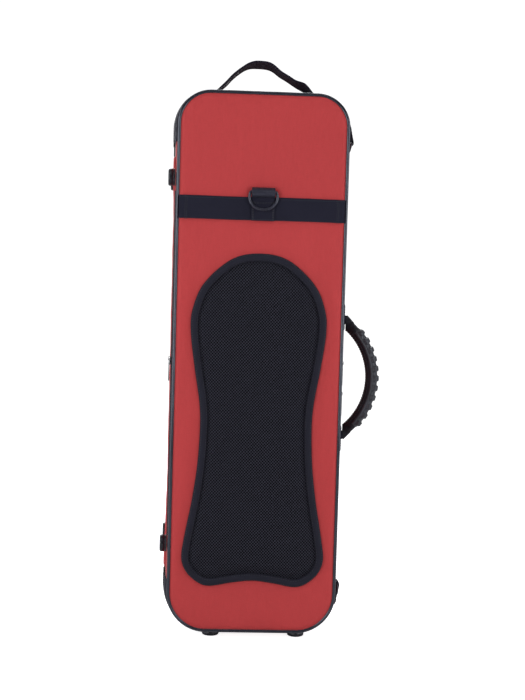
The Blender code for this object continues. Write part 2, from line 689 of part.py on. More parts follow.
RED_FABRIC = material("red_cordura", (0.43, 0.060, 0.060), 0.85)
BLACK_VINYL = material("black_vinyl_piping", (0.022, 0.022, 0.030), 0.35)
MESH_FABRIC = material("black_air_mesh", (0.018, 0.018, 0.022), 0.90)
BLACK_FABRIC = material("black_fabric", (0.022, 0.022, 0.028), 0.85)
WEBBING_BLACK = material("black_webbing", (0.020, 0.021, 0.028), 0.80)
ZIP_TAPE = material("black_zip_tape", (0.015, 0.015, 0.018), 0.80)
BLACK_METAL = material("black_lacquered_metal", (0.020, 0.020, 0.024), 0.35, 0.8)
BLACK_RUBBER = material("black_rubber", (0.018, 0.018, 0.022), 0.45)
BLACK_PLASTIC = material("black_plastic", (0.020, 0.020, 0.022), 0.40)
PLUSH = material("charcoal_plush", (0.060, 0.060, 0.068), 0.95)

make_body_shell()
make_back_pad()
make_back_band()
make_back_d_ring()
make_hinge_strip()
zip_tape("body_zip_tape", PART_Y - 0.0075, PART_Y - GAP)
make_pocket_zip()
make_handle_anchors()
make_feet()
for level_name in ("top", "bottom"):
    make_corner_tab(level_name)
    make_corner_ring(level_name)
for side_name in ("left", "right"):
    make_insert(side_name)
make_boxes()
make_neck_holder()
make_lid()
zip_tape("lid_zip_tape", PART_Y + GAP, PART_Y + 0.0075)
make_lid_pocket_zip()
make_main_sliders()
make_bow_holders()
make_carry_handle()
make_top_handle()
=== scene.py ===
"""Looks for an oblong violin case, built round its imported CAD.

Every piece is modelled in metres about the middle of the case: x = 0 lies between the long
sides, and y and z are the CAD model's own. `finish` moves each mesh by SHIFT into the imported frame.
Every mesh carries a UV map in metres, so a weave keeps its real pitch on any piece.
"""

import math

import bmesh
import bpy
import numpy as np
from mathutils import Matrix, Vector


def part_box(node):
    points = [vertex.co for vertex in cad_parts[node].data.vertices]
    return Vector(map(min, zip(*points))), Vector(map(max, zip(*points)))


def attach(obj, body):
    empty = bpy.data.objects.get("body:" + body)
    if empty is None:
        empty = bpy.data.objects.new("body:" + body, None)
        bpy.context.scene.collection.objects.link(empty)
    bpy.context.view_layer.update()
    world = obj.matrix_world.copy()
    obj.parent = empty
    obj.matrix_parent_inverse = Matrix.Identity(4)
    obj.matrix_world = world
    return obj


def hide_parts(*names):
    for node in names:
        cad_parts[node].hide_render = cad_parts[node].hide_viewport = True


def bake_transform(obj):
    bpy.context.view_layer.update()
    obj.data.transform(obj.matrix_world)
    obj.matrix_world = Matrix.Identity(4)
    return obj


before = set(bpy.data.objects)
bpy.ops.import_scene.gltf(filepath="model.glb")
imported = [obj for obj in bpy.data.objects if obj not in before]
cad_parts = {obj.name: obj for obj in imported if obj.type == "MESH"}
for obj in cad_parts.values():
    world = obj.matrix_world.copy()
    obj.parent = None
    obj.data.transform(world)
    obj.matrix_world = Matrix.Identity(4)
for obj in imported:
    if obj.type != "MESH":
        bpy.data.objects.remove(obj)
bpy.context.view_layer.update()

# ---- the case's own dimensions, read from the frame ----------------------------------------
BODY_LOW, BODY_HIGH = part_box("body_shell")
LID_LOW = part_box("lid_shell")[0]
SIDE_FLARE, END_FLARE = 0.0045, 0.0010
HALF_WIDTH = (BODY_HIGH.x - BODY_LOW.x) / 2 - SIDE_FLARE
LOW_Z = BODY_LOW.z + END_FLARE
HIGH_Z = BODY_HIGH.z - END_FLARE
TOP_RADIUS, BOTTOM_RADIUS = 0.0475, 0.0580
PART_Y, BACK_Y, FRONT_Y = 0.012, -0.070, 0.070
SHIFT = Vector(((BODY_LOW.x + BODY_HIGH.x) / 2, (BODY_HIGH.y + LID_LOW.y) / 2 - PART_Y, 0.0))
GAP = 0.0003
PANEL_INSET, PANEL_ROWS, PANEL_COLUMNS = 0.0048, 250, 88
STITCH_PITCH, STITCH_LENGTH = 0.0036, 0.0026
PIPING_RADIUS = 0.00275
PAD_SEAT = BACK_Y - 0.0015
BAND_LOW, BAND_HIGH = 0.6060, 0.6390
D_RING_X, D_RING_Y, D_RING_Z = 0.0012, -0.0780, 0.6475
TAB_Y, TAB_WIDTH = -0.0090, 0.0200
RING_X = 0.1308
RING_Z = {"top": 0.7265, "bottom": 0.0706}


# ---- outlines and paths --------------------------------------------------------------------
def line(start, end, steps):
    """Points from start up to, but not including, end."""
    shares = np.arange(steps)[:, None] / steps
    return np.array(start) * (1 - shares) + np.array(end) * shares


def arc(centre, radius, start, end, steps):
    """Points of an arc, angles in degrees, the last point left out."""
    angles = np.radians(start + (end - start) * np.arange(steps) / steps)
    return np.array(centre) + radius * np.stack([np.cos(angles), np.sin(angles)], 1)


END_STEPS, CORNER_STEPS, WALL_STEPS = 12, 18, 80
WALL_START = END_STEPS + CORNER_STEPS
WALL_STOP = WALL_START + WALL_STEPS


def right_side(side, end, straight=WALL_STEPS):
    """The case outline, inset, from the bottom's middle up the right side to the top's middle.

    The straight wall runs from point WALL_START to point WALL_STOP.
    """
    half, low, high = HALF_WIDTH - side, LOW_Z + end, HIGH_Z - end
    mean = (side + end) / 2
    bottom, top = BOTTOM_RADIUS - mean, TOP_RADIUS - mean
    return np.concatenate([
        line((0, low), (half - bottom, low), END_STEPS),
        arc((half - bottom, low + bottom), bottom, -90, 0, CORNER_STEPS),
        line((half, low + bottom), (half, high - top), straight),
        arc((half - top, high - top), top, 0, 90, CORNER_STEPS),
        line((half - top, high), (0, high), END_STEPS),
        [(0, high)],
    ])


def outline(side, end=None, straight=WALL_STEPS):
    """The whole rounded outline, anticlockwise as (x, z)."""
    right = right_side(side, side if end is None else end, straight)
    return np.concatenate([right, right[1:-1][::-1] * (-1, 1)])


def at_x(flat, x):
    """(y, z) points put at x, which may be one number or one for each point."""
    return np.insert(flat, 0, x, axis=1)


def at_y(flat, y):
    """(x, z) points put at y, which may be one number or one for each point."""
    return np.insert(flat, 1, y, axis=1)


def local_box(node):
    """The low and high corners of a CAD node in the case's own axes."""
    return tuple(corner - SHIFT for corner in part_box(node))


def mirrored(right):
    """An outline from its right side, whose first and last points lie on the middle."""
    return right + [(-x, z) for x, z in reversed(right[1:-1])]


def smooth_curve(points, spacing, closed=False):
    """A Catmull-Rom curve through the points, resampled to even spacing."""
    points = np.array(points, float)
    count = len(points)
    spans = count if closed else count - 1
    found = []
    for index in range(spans):
        if closed:
            a, b, c, d = (points[(index + k - 1) % count] for k in range(4))
        else:
            a, b, c, d = (points[min(max(index + k - 1, 0), count - 1)] for k in range(4))
        t = np.linspace(0, 1, 24, endpoint=False)[:, None]
        found.append(0.5 * (2 * b + (c - a) * t + (2 * a - 5 * b + 4 * c - d) * t**2
                            + (3 * b - 3 * c + d - a) * t**3))
    found = np.concatenate(found + ([] if closed else [points[-1:]]))
    return resample(found, spacing, closed)


def distances(points):
    """The distance along a curve to each of its points."""
    return np.concatenate([[0], np.cumsum(np.linalg.norm(np.diff(points, axis=0), axis=1))])


def evenly(points, count, values=None):
    """A curve's points, or values given at them, at an even spacing along the curve."""
    along = distances(points)
    wanted = np.linspace(0, along[-1], count)
    values = points if values is None else values
    return np.stack([np.interp(wanted, along, column) for column in values.T], 1)


def resample(points, spacing, closed=False):
    points = np.array(points, float)
    if closed:
        points = np.concatenate([points, points[:1]])
    steps = max(2, round(distances(points)[-1] / spacing))
    found = evenly(points, steps + 1)
    return found[:-1] if closed else found


def tangents(points, closed=False):
    if closed:
        along = np.roll(points, -1, 0) - np.roll(points, 1, 0)
    else:
        along = np.gradient(points, axis=0)
    return along / np.linalg.norm(along, axis=1)[:, None]


def offset_inwards(flat, distance):
    """A closed anticlockwise outline moved inwards by one distance, or one for each point."""
    along = tangents(flat, True)
    return flat + np.stack([-along[:, 1], along[:, 0]], 1) * np.reshape(distance, (-1, 1))


def smoothstep(low, high, value):
    share = np.clip((value - low) / (high - low), 0, 1)
    return share * share * (3 - 2 * share)


def ripple(position, wavelength, phase=0.0):
    return np.sin(2 * math.pi * position / wavelength + phase)


# ---- meshes --------------------------------------------------------------------------------
def skin(rings, closed=True, caps=(False, False), loop=False):
    """Vertices, faces and UVs in metres of a surface over rings of equal count.

    closed joins each ring's end to its start, loop joins the last ring to the first, and caps
    close the first and last ring with one face each.
    """
    rings = np.array(rings, float)
    rows, count, _ = rings.shape
    around = np.linalg.norm(np.diff(np.concatenate([rings, rings[:, :1]], 1), axis=1), axis=2)
    u = np.concatenate([[0], np.cumsum(around.mean(0))])
    steps = np.linalg.norm(np.diff(np.concatenate([rings, rings[:1]], 0), axis=0), axis=2)
    v = np.concatenate([[0], np.cumsum(steps.mean(1))])
    columns = count if closed else count - 1
    faces, uvs = [], []
    for row in range(rows if loop else rows - 1):
        after_row = (row + 1) % rows
        for column in range(columns):
            after = (column + 1) % count
            faces.append((row * count + column, row * count + after,
                          after_row * count + after, after_row * count + column))
            uvs += [(u[column], v[row]), (u[column + 1], v[row]),
                    (u[column + 1], v[row + 1]), (u[column], v[row + 1])]
    for wanted, row in zip(caps, (0, rows - 1)):
        if wanted:
            faces.append(tuple(range(row * count, row * count + count)))
            uvs += [(p[0] + p[1], p[2]) for p in rings[row]]
    return rings.reshape(-1, 3), faces, uvs


def capped(rings):
    return skin(rings, caps=(True, True))


def full_turn(steps):
    return np.linspace(0, 2 * math.pi, steps, endpoint=False)


def merged(parts):
    """Several (vertices, faces, uvs) as one."""
    vertices, faces, uvs, base = [], [], [], 0
    for points, polygons, coordinates in parts:
        vertices.append(points)
        faces += [tuple(index + base for index in polygon) for polygon in polygons]
        uvs += coordinates
        base += len(points)
    return np.concatenate(vertices), faces, uvs


def finish(name, shape, surface, body, replaces=(), angle=40, keep_free=False):
    """Makes the object from (vertices, faces, uvs), places it and hands it to its body."""
    vertices, faces, uvs = shape
    mesh = bpy.data.meshes.new(name)
    mesh.from_pydata((np.asarray(vertices) + np.array(SHIFT)).tolist(), [], faces)
    layer = mesh.uv_layers.new(name="metres")
    layer.data.foreach_set("uv", np.array(uvs, np.float32).ravel())
    solid = bmesh.new()
    solid.from_mesh(mesh)
    bmesh.ops.recalc_face_normals(solid, faces=solid.faces)
    solid.to_mesh(mesh)
    solid.free()
    mesh.materials.append(surface)
    mesh.shade_smooth()
    mesh.set_sharp_from_angle(angle=math.radians(angle))
    made = bpy.data.objects.new(name, mesh)
    bpy.context.scene.collection.objects.link(made)
    if not keep_free:
        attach(made, body)
    if replaces:
        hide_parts(*replaces)
    return made


def sweep(path, across, section, closed=False):
    """Rings of a section along a path. Section points are (along across, along the normal)."""
    path = np.array(path, float)
    across = np.broadcast_to(np.array(across, float), path.shape)
    along = tangents(path, closed)
    normal = np.cross(across, along)
    normal /= np.linalg.norm(normal, axis=1)[:, None]
    sections = np.broadcast_to(np.array(section, float), (len(path), *np.shape(section)[-2:]))
    return (path[:, None] + across[:, None] * sections[:, :, :1]
            + normal[:, None] * sections[:, :, 1:])


def tube(path, across, radius, sides, closed=True):
    """A round cord along a path."""
    rings = sweep(path, across, arc((0, 0), radius, 0, 360, sides), closed)
    return skin(rings, loop=True) if closed else capped(rings)


def strap_section(width, thick, steps=8):
    """A flat strap's section with rounded edges."""
    radius = thick / 2
    half = width / 2 - radius
    return np.concatenate([
        arc((half, 0), radius, -90, 90, 5),
        line((half, radius), (-half, radius), steps),
        arc((-half, 0), radius, 90, 270, 5),
        line((-half, -radius), (half, -radius), steps),
    ])


def ribbon(path, across, width, thick, closed=False, steps=8):
    section = strap_section(width, thick, steps)
    return skin(sweep(path, across, section, closed), loop=closed, caps=(not closed, not closed))


def turned(profile, base, direction, steps=48):
    """A turned solid from (radius, height) points, axis to axis."""
    turn = Vector((0, 0, 1)).rotation_difference(Vector(direction)).to_matrix()
    angles = full_turn(steps)
    rings = []
    for radius, height in profile:
        ring = [turn @ Vector((radius * math.cos(a), radius * math.sin(a), height)) for a in angles]
        rings.append([Vector(base) + point for point in ring])
    return capped(rings)


def threads(spots, length, shares, heights, sizes, angles):
    """Short arched threads; each spot is its middle, its direction, its side and its up."""
    parts = []
    for point, along, side, up in spots:
        rings = [point + along * share * length + up * height
                 + size * (np.cos(angles)[:, None] * up + np.sin(angles)[:, None] * side)
                 for share, height, size in zip(shares, heights, sizes)]
        parts.append(capped(rings))
    return merged(parts)


def stitches(path, normal, radius=0.00032, closed=False, lift=0.0):
    """A line of sewn stitches, whose ends dive into the cloth."""
    points = resample(path, STITCH_PITCH, closed)
    along = tangents(points, closed)
    normals = np.broadcast_to(np.array(normal, float), points.shape)
    side = np.cross(along, normals)
    side /= np.linalg.norm(side, axis=1)[:, None]
    up = np.cross(side, along)
    return threads(zip(points, along, side, up), STITCH_LENGTH, (-0.5, -0.3, 0.0, 0.3, 0.5),
                   np.array([-0.9, 0.35, 0.75, 0.35, -0.9]) * radius + lift,
                   np.array([0.5, 0.95, 1.0, 0.95, 0.5]) * radius, np.radians(np.arange(5) * 72.0))


def boxy(low, high, radius):
    """A block with rounded edges, its UVs by the largest face direction."""
    solid = bmesh.new()
    low, high = Vector(low), Vector(high)
    bmesh.ops.create_cube(solid, size=1.0)
    bmesh.ops.scale(solid, vec=high - low, verts=solid.verts)
    bmesh.ops.translate(solid, vec=(low + high) / 2, verts=solid.verts)
    bmesh.ops.bevel(solid, geom=solid.edges[:], offset=radius, segments=2, affect="EDGES",
                    profile=0.5)
    return from_bmesh(solid)


def from_bmesh(solid):
    """(vertices, faces, uvs) of a bmesh, each face's UVs taken along its main directions."""
    solid.normal_update()
    solid.verts.index_update()
    vertices = np.array([vertex.co[:] for vertex in solid.verts])
    faces, uvs = [], []
    for face in solid.faces:
        faces.append(tuple(vertex.index for vertex in face.verts))
        size = [abs(value) for value in face.normal]
        drop = size.index(max(size))
        keep = [axis for axis in range(3) if axis != drop]
        uvs += [(vertex.co[keep[0]], vertex.co[keep[1]]) for vertex in face.verts]
    solid.free()
    return vertices, faces, uvs


def plate(flat, depth, axis, start, bevel, segments=2):
    """A flat outline, given in the other two axes, extruded along an axis with rounded edges."""
    solid = bmesh.new()
    others = [k for k in range(3) if k != axis]
    ring = []
    for first, second in flat:
        point = [0.0, 0.0, 0.0]
        point[others[0]], point[others[1]], point[axis] = first, second, start
        ring.append(solid.verts.new(point))
    face = solid.faces.new(ring)
    moved = bmesh.ops.extrude_face_region(solid, geom=[face])
    shift = [0.0, 0.0, 0.0]
    shift[axis] = depth
    bmesh.ops.translate(solid, vec=shift,
                        verts=[item for item in moved["geom"] if isinstance(item, bmesh.types.BMVert)])
    bmesh.ops.recalc_face_normals(solid, faces=solid.faces)
    if bevel:
        rims = [edge for edge in solid.edges
                if abs(edge.verts[0].co[axis] - edge.verts[1].co[axis]) < 1e-7]
        bmesh.ops.bevel(solid, geom=rims, offset=bevel, segments=segments, affect="EDGES",
                        profile=0.5)
    return from_bmesh(solid)


def numbered(kept, shape):
    """A grid of running numbers for the kept points, with -1 for the others."""
    index = -np.ones(len(kept), int)
    index[kept] = np.arange(kept.sum())
    return index.reshape(shape)


def cells(index):
    """The quads of a numbered grid whose corners are all kept."""
    quads = np.stack([index[:-1, :-1], index[:-1, 1:], index[1:, 1:], index[1:, :-1]], 2)
    quads = quads.reshape(-1, 4)
    return quads[quads.min(1) >= 0].tolist()


def sew(name, seams, normal, body, thread, radius=0.00032):
    """Several lines of stitches, straight or along a path, as one piece."""
    lines = [stitches(seam, normal, radius) for seam in seams]
    finish(name, merged(lines), thread, body)


# ---- materials -----------------------------------------------------------------------------
class Look:
    """One material: a Principled shader and short ways to wire nodes into it."""

    def __init__(self, name, colour, roughness, **constants):
        self.material = bpy.data.materials.new(name)
        self.material.use_nodes = True
        self.tree = self.material.node_tree
        self.shader = self.tree.nodes["Principled BSDF"]
        self.colour = colour
        self.set("Base Color", (*colour, 1.0))
        self.set("Roughness", roughness)
        for socket, value in constants.items():
            self.set(socket.replace("_", " "), value)
        self.material.diffuse_color = (*colour, 1.0)
        coordinates = self.tree.nodes.new("ShaderNodeTexCoord")
        self.uv, self.object = coordinates.outputs["UV"], coordinates.outputs["Object"]

    def set(self, socket, value):
        target = self.shader.inputs[socket]
        if isinstance(value, bpy.types.NodeSocket):
            self.tree.links.new(value, target)
        else:
            target.default_value = value

    def node(self, kind, inputs=(), **settings):
        made = self.tree.nodes.new(kind)
        for key, value in settings.items():
            setattr(made, key, value)
        for key, value in dict(inputs).items():
            if isinstance(value, bpy.types.NodeSocket):
                self.tree.links.new(value, made.inputs[key])
            else:
                made.inputs[key].default_value = value
        return made

    def math(self, operation, first, second=0.0, third=0.0):
        made = self.node("ShaderNodeMath", {0: first, 1: second, 2: third}, operation=operation)
        return made.outputs[0]

    def split(self, vector):
        made = self.node("ShaderNodeSeparateXYZ", {0: vector})
        return made.outputs

    def raised(self, wave):
        """A wave from -1 to 1 turned into one from 0 to 1."""
        return self.math("MULTIPLY_ADD", wave, 0.5, 0.5)

    def wave(self, coordinate, period):
        """A sine of one coordinate, from -1 to 1."""
        return self.math("SINE", self.math("MULTIPLY", coordinate, 2 * math.pi / period))

    def weave(self, period):
        """Height of a plain weave, 0 to 1: warp and weft pass over each other in turn."""
        place = self.split(self.uv)
        waves = [self.wave(place[k], period) for k in (0, 1)]
        return self.raised(self.math("MULTIPLY", *waves))

    def total(self, *terms):
        """The sum of (value, weight) terms."""
        parts = [self.math("MULTIPLY", value, weight) for value, weight in terms]
        found = parts[0]
        for part in parts[1:]:
            found = self.math("ADD", found, part)
        return found

    def noise(self, size, detail=3.0, vector=None, stretch=None):
        """Noise from 0 to 1 whose features are about size metres across."""
        place = self.object if vector is None else vector
        if stretch:
            place = self.node("ShaderNodeVectorMath", {0: place, 1: stretch},
                              operation="MULTIPLY").outputs[0]
        made = self.node("ShaderNodeTexNoise", {"Vector": place, "Scale": 1 / size,
                                                "Detail": detail, "Roughness": 0.55})
        return made.outputs["Fac"]

    def blend(self, factor, first, second):
        made = self.node("ShaderNodeMix", data_type="RGBA")
        for socket, value in zip((made.inputs[0], made.inputs[6], made.inputs[7]),
                                 (factor, first, second)):
            if isinstance(value, bpy.types.NodeSocket):
                self.tree.links.new(value, socket)
            elif socket == made.inputs[0]:
                socket.default_value = value
            else:
                socket.default_value = (*value, 1.0)
        return made.outputs[2]

    def range(self, value, low, high, to_low, to_high):
        made = self.node("ShaderNodeMapRange", {0: value, 1: low, 2: high, 3: to_low, 4: to_high})
        return made.outputs[0]

    def dye(self, tone, low, high, dark, light):
        """Base colour that runs from dark to light times the look's own as tone goes low to high."""
        shades = [tuple(value * factor for value in self.colour) for factor in (dark, light)]
        self.set("Base Color", self.blend(self.range(tone, low, high, 0.0, 1.0), *shades))

    def bump(self, height, distance, strength=1.0, under=None):
        inputs = {"Height": height, "Distance": distance, "Strength": strength}
        if under is not None:
            inputs["Normal"] = under
        return self.node("ShaderNodeBump", inputs).outputs[0]


def cordura(name, colour):
    """Coarse coated nylon: plain weave with slubs, uneven dye and soft creases."""
    look = Look(name, colour, 0.74, Sheen_Weight=0.07, Sheen_Roughness=0.45, Specular_IOR_Level=0.22,
                Sheen_Tint=(1.0, 0.62, 0.62, 1.0))
    weave = look.weave(0.00125)
    slub_u = look.noise(0.0008, 2.0, look.uv, (1.0, 0.07, 1.0))
    slub_v = look.noise(0.0008, 2.0, look.uv, (0.07, 1.0, 1.0))
    slubs = look.math("MULTIPLY", look.math("ADD", slub_u, slub_v), 0.5)
    tone = look.total((weave, 0.30), (slubs, 0.75), (look.noise(0.16, 2.0), 0.22))
    look.dye(tone, 0.25, 1.0, 0.80, 1.17)
    look.set("Roughness", look.range(slubs, 0.3, 0.7, 0.66, 0.80))
    height = look.total((weave, 1.0), (slubs, 0.8))
    creases = look.bump(look.noise(0.026, 3.0, None, (1.0, 1.0, 0.40)), 0.0040, 0.75)
    look.set("Normal", look.bump(height, 0.00022, 0.55, creases))
    return look.material


def webbing(name, colour, shine=0.12, roughness=0.62):
    """Polypropylene strap: ribs that zigzag across it, yarns along it, a little fuzz."""
    look = Look(name, colour, roughness, Sheen_Weight=0.03, Specular_IOR_Level=shine,
                Specular_Tint=(0.80, 0.82, 1.0, 1.0))
    place = look.split(look.uv)
    zigzag = look.math("PINGPONG", place[0], 0.0016)
    along = look.math("MULTIPLY_ADD", zigzag, 0.7, place[1])
    ribs = look.raised(look.wave(along, 0.0015))
    yarns = look.raised(look.wave(place[0], 0.0011))
    fuzz = look.noise(0.0007, 3.0)
    height = look.total((ribs, 0.7), (yarns, 0.3))
    look.dye(look.total((height, 0.6), (fuzz, 0.4), (look.noise(0.05, 2.0), 0.3)), 0.2, 1.05, 0.62, 1.5)
    look.set("Roughness", look.range(fuzz, 0.3, 0.7, roughness - 0.07, roughness + 0.10))
    look.set("Normal", look.bump(height, 0.00035, 0.7))
    return look.material


def fine_cloth(name, colour, period=0.0009):
    """Fine woven or knitted binding cloth."""
    look = Look(name, colour, 0.70, Sheen_Weight=0.04, Specular_IOR_Level=0.20)
    weave = look.weave(period)
    fuzz = look.noise(0.0009, 3.0)
    look.dye(look.total((weave, 0.4), (fuzz, 0.4), (look.noise(0.035, 2.0), 0.4)), 0.25, 0.95, 0.72, 1.35)
    look.set("Roughness", look.range(fuzz, 0.3, 0.7, 0.62, 0.80))
    look.set("Normal", look.bump(look.math("ADD", weave, fuzz), 0.00022, 0.6))
    return look.material


MESH_X, MESH_Z = 0.0042, 0.0045


def air_mesh(name, colour):
    """Spacer mesh: a lattice of dull strands round diamond holes; painted shade makes the holes near
    black.
    """
    look = Look(name, colour, 0.60, Sheen_Weight=0.0, Specular_IOR_Level=0.04)
    place = look.split(look.uv)
    across = look.math("MULTIPLY", place[0], 2 * math.pi / MESH_X)
    up = look.math("MULTIPLY", place[1], 2 * math.pi / MESH_Z)
    rising = look.math("COSINE", look.math("ADD", across, up))
    falling = look.math("COSINE", look.math("SUBTRACT", across, up))
    hole = look.math("MULTIPLY", look.raised(rising), look.raised(falling))
    strands = look.range(hole, 0.01, 0.17, 1.0, 0.0)
    knit = look.raised(look.wave(look.math("ADD", place[0], place[1]), 0.00085))
    fuzz = look.noise(0.0010, 3.0)
    tone = look.math("MULTIPLY", strands, look.math("MULTIPLY_ADD", knit, 0.35, 0.65))
    tone = look.math("MULTIPLY", tone, look.math("MULTIPLY_ADD", fuzz, 0.6, 0.7))
    # painted shade: the holes are dyed down to 0.05 of the strands' colour, standing in for the shade deep
    # in each hole
    look.dye(tone, 0.0, 1.0, 0.05, 1.0)
    look.set("Normal", look.bump(look.total((strands, 1.0), (knit, 0.25)), 0.0007, 0.8))
    return look.material


def hard_look(name, colour, roughness, stain, finish_noise, grain, **constants):
    """A hard or rubbery surface.

    stain is a noise, the two levels it shows between and how light it gets. finish_noise is a
    noise, its two levels and the roughness at each. grain is a noise, its depth and strength.
    """
    look = Look(name, colour, roughness, **constants)
    noise, low, high, light = stain
    look.dye(look.noise(*noise), low, high, 1.0, light)
    noise, *levels = finish_noise
    look.set("Roughness", look.range(look.noise(*noise), *levels))
    noise, depth, strength = grain
    look.set("Normal", look.bump(look.noise(*noise), depth, strength))
    return look.material


def rubber(name, colour, roughness=0.42):
    """Moulded rubber or plastic: fine grain, lighter where it is worn."""
    wear = (0.012, 4.0)
    return hard_look(name, colour, roughness, (wear, 0.42, 0.75, 1.9),
                     (wear, 0.3, 0.7, roughness - 0.06, roughness + 0.14),
                     ((0.0005, 3.0), 0.00012, 0.5), Specular_IOR_Level=0.45)


def plush(name, colour):
    """Short pile: soft, brushed this way and that, with a bright edge."""
    look = Look(name, colour, 0.92, Sheen_Weight=0.75, Sheen_Roughness=0.45, Specular_IOR_Level=0.15,
                Sheen_Tint=(0.55, 0.56, 0.62, 1.0))
    pile = look.noise(0.0007, 2.0)
    brushed = look.noise(0.030, 3.0)
    look.dye(look.total((pile, 0.5), (brushed, 0.5)), 0.3, 0.7, 0.62, 1.45)
    dents = look.bump(brushed, 0.0009, 0.35)
    look.set("Normal", look.bump(pile, 0.00045, 0.7, dents))
    return look.material


def zip_cloth(name, colour):
    """Zip tape: fine twill running along the zip."""
    look = Look(name, colour, 0.68, Sheen_Weight=0.03, Specular_IOR_Level=0.22)
    place = look.split(look.uv)
    twill = look.raised(look.wave(look.math("ADD", place[0], place[1]), 0.0009))
    look.dye(look.total((twill, 0.6), (look.noise(0.0008, 2.0), 0.5)), 0.2, 0.9, 0.7, 1.5)
    look.set("Normal", look.bump(twill, 0.00018, 0.6))
    return look.material


def glossy_nylon(name, colour, roughness=0.35):
    """Drawn nylon: zip coils and sewing thread."""
    look = Look(name, colour, roughness, Specular_IOR_Level=0.55)
    strands = look.noise(0.0004, 2.0)
    look.dye(strands, 0.35, 0.65, 0.75, 1.35)
    look.set("Roughness", look.range(strands, 0.3, 0.7, roughness - 0.05, roughness + 0.12))
    look.set("Normal", look.bump(strands, 0.00006, 0.5))
    return look.material


RED = cordura("red_cordura", (0.45, 0.042, 0.043))
BINDING = fine_cloth("black_binding_cloth", (0.0088, 0.0084, 0.0165))
CLOTH = fine_cloth("black_handle_cloth", (0.0090, 0.0088, 0.0125), period=0.0013)
MESH = air_mesh("black_air_mesh", (0.0480, 0.0470, 0.0640))
WEBBING = webbing("black_webbing", (0.0110, 0.0105, 0.0190))
POLISHED_WEBBING = webbing("worn_black_webbing", (0.0075, 0.0070, 0.0135), 0.42, 0.27)
SCUFFS, SCRATCHES = (0.010, 5.0, None, (1.0, 1.0, 0.25)), (0.0016, 4.0, None, (1.0, 1.0, 0.15))
PIPING = hard_look("black_vinyl_piping", (0.0060, 0.0062, 0.0110), 0.15, (SCUFFS, 0.45, 0.75, 1.5),
                   (SCUFFS, 0.35, 0.70, 0.11, 0.25), ((0.0006, 2.0), 0.00008, 0.5),
                   Specular_IOR_Level=0.80, Specular_Tint=(0.84, 0.88, 1.0, 1.0))
ZIP_CLOTH = zip_cloth("black_zip_tape", (0.0140, 0.0140, 0.0180))
COIL = glossy_nylon("black_zip_coil", (0.0150, 0.0150, 0.0200))
THREAD = glossy_nylon("black_thread", (0.0150, 0.0150, 0.0220), 0.60)
RED_THREAD = glossy_nylon("red_thread", (0.40, 0.045, 0.048), 0.55)
METAL = hard_look("black_lacquered_metal", (0.0120, 0.0115, 0.0190), 0.30,
                  ((0.008, 4.0), 0.5, 0.8, 2.4), (SCRATCHES, 0.3, 0.75, 0.22, 0.42),
                  (SCRATCHES, 0.00005, 0.4), Metallic=0.0, Coat_Weight=0.25, Coat_Roughness=0.15,
                  Specular_Tint=(0.84, 0.86, 1.0, 1.0))
RUBBER = rubber("black_rubber", (0.0130, 0.0130, 0.0180))
PLASTIC = rubber("black_moulded_plastic", (0.0160, 0.0160, 0.0190), 0.36)
FOOT = rubber("black_glossy_foot", (0.0100, 0.0100, 0.0150), 0.22)
PLUSH = plush("charcoal_plush", (0.040, 0.040, 0.046))
STEEL = Look("bright_rivet", (0.42, 0.42, 0.44), 0.28, Metallic=1.0)
STEEL.set("Roughness", STEEL.range(STEEL.noise(0.0015, 4.0), 0.3, 0.7, 0.20, 0.42))
STEEL = STEEL.material


# ---- body: covered walls, panel and piping -------------------------------------------------
def wall_inset(y):
    """Side and end insets of a wall's outer face, negative where it flares towards the rim."""
    back = BACK_Y + 0.005 if y < PART_Y else FRONT_Y - 0.005
    share = (y - back) / (PART_Y - back)
    return 0.0006 - share * (SIDE_FLARE + 0.0006), 0.0006 - share * (END_FLARE + 0.0006)


def hinge_ease(y, z):
    """How much flatter the wall stands along the hinge than round the corners."""
    share = (SIDE_FLARE - wall_inset(y)[0]) / (2 * SIDE_FLARE)
    return 0.0021 * share * smoothstep(0.10, 0.22, z) * smoothstep(0.72, 0.60, z)


def covered_shell(outer_y, rim_y, floor_y):
    """Foam half-shell wrapped in cordura; the cloth swells a little between its seams.

    Rings first to last are the wall, and those up to rim stand flatter along the hinge.
    """
    sign = 1 if rim_y > outer_y else -1
    spec = [(0.0062, 0.0062, outer_y + sign * 0.0006), (0.0030, 0.0030, outer_y + sign * 0.0012),
            (0.0012, 0.0012, outer_y + sign * 0.0038)]
    start = outer_y + sign * 0.0052
    for y in np.linspace(start, rim_y - sign * 0.0030, 16):
        spec.append((*wall_inset(y), y))
    side, end = wall_inset(rim_y)
    spec += [(side + 0.0001, end + 0.0001, rim_y - sign * 0.0014),
             (side + 0.0006, end + 0.0006, rim_y - sign * 0.0005),
             (side + 0.0018, end + 0.0018, rim_y),
             (side + 0.0060, end + 0.0060, rim_y),
             (0.0074, 0.0074, rim_y), (0.0081, 0.0081, rim_y - sign * 0.0012),
             (0.0084, 0.0084, floor_y)]
    first, last, rim = 3, 18, 21
    rings = []
    for index, (side, end, y) in enumerate(spec):
        flat = outline(side, end)
        if first <= index <= last:
            share = (index - first) / (last - first)
            around = distances(flat)
            swell = math.sin(math.pi * share) * 0.0006
            waves = 0.00022 * ripple(around, 0.137, 2.0 * share) + 0.00016 * ripple(around, 0.061, 1.0)
            pucker = 0.00010 * ripple(around, 0.0086) * math.exp(-min(share, 1 - share) / 0.09)
            amount = swell + waves * math.sin(math.pi * share) + pucker
            flat = offset_inwards(flat, -amount)
        if first <= index <= rim:
            ease = hinge_ease(y, flat[:, 1])
            flat[:, 0] += np.where(flat[:, 0] < 0, ease, -0.25 * ease)
        rings.append(at_y(flat, y))
    return capped(rings)


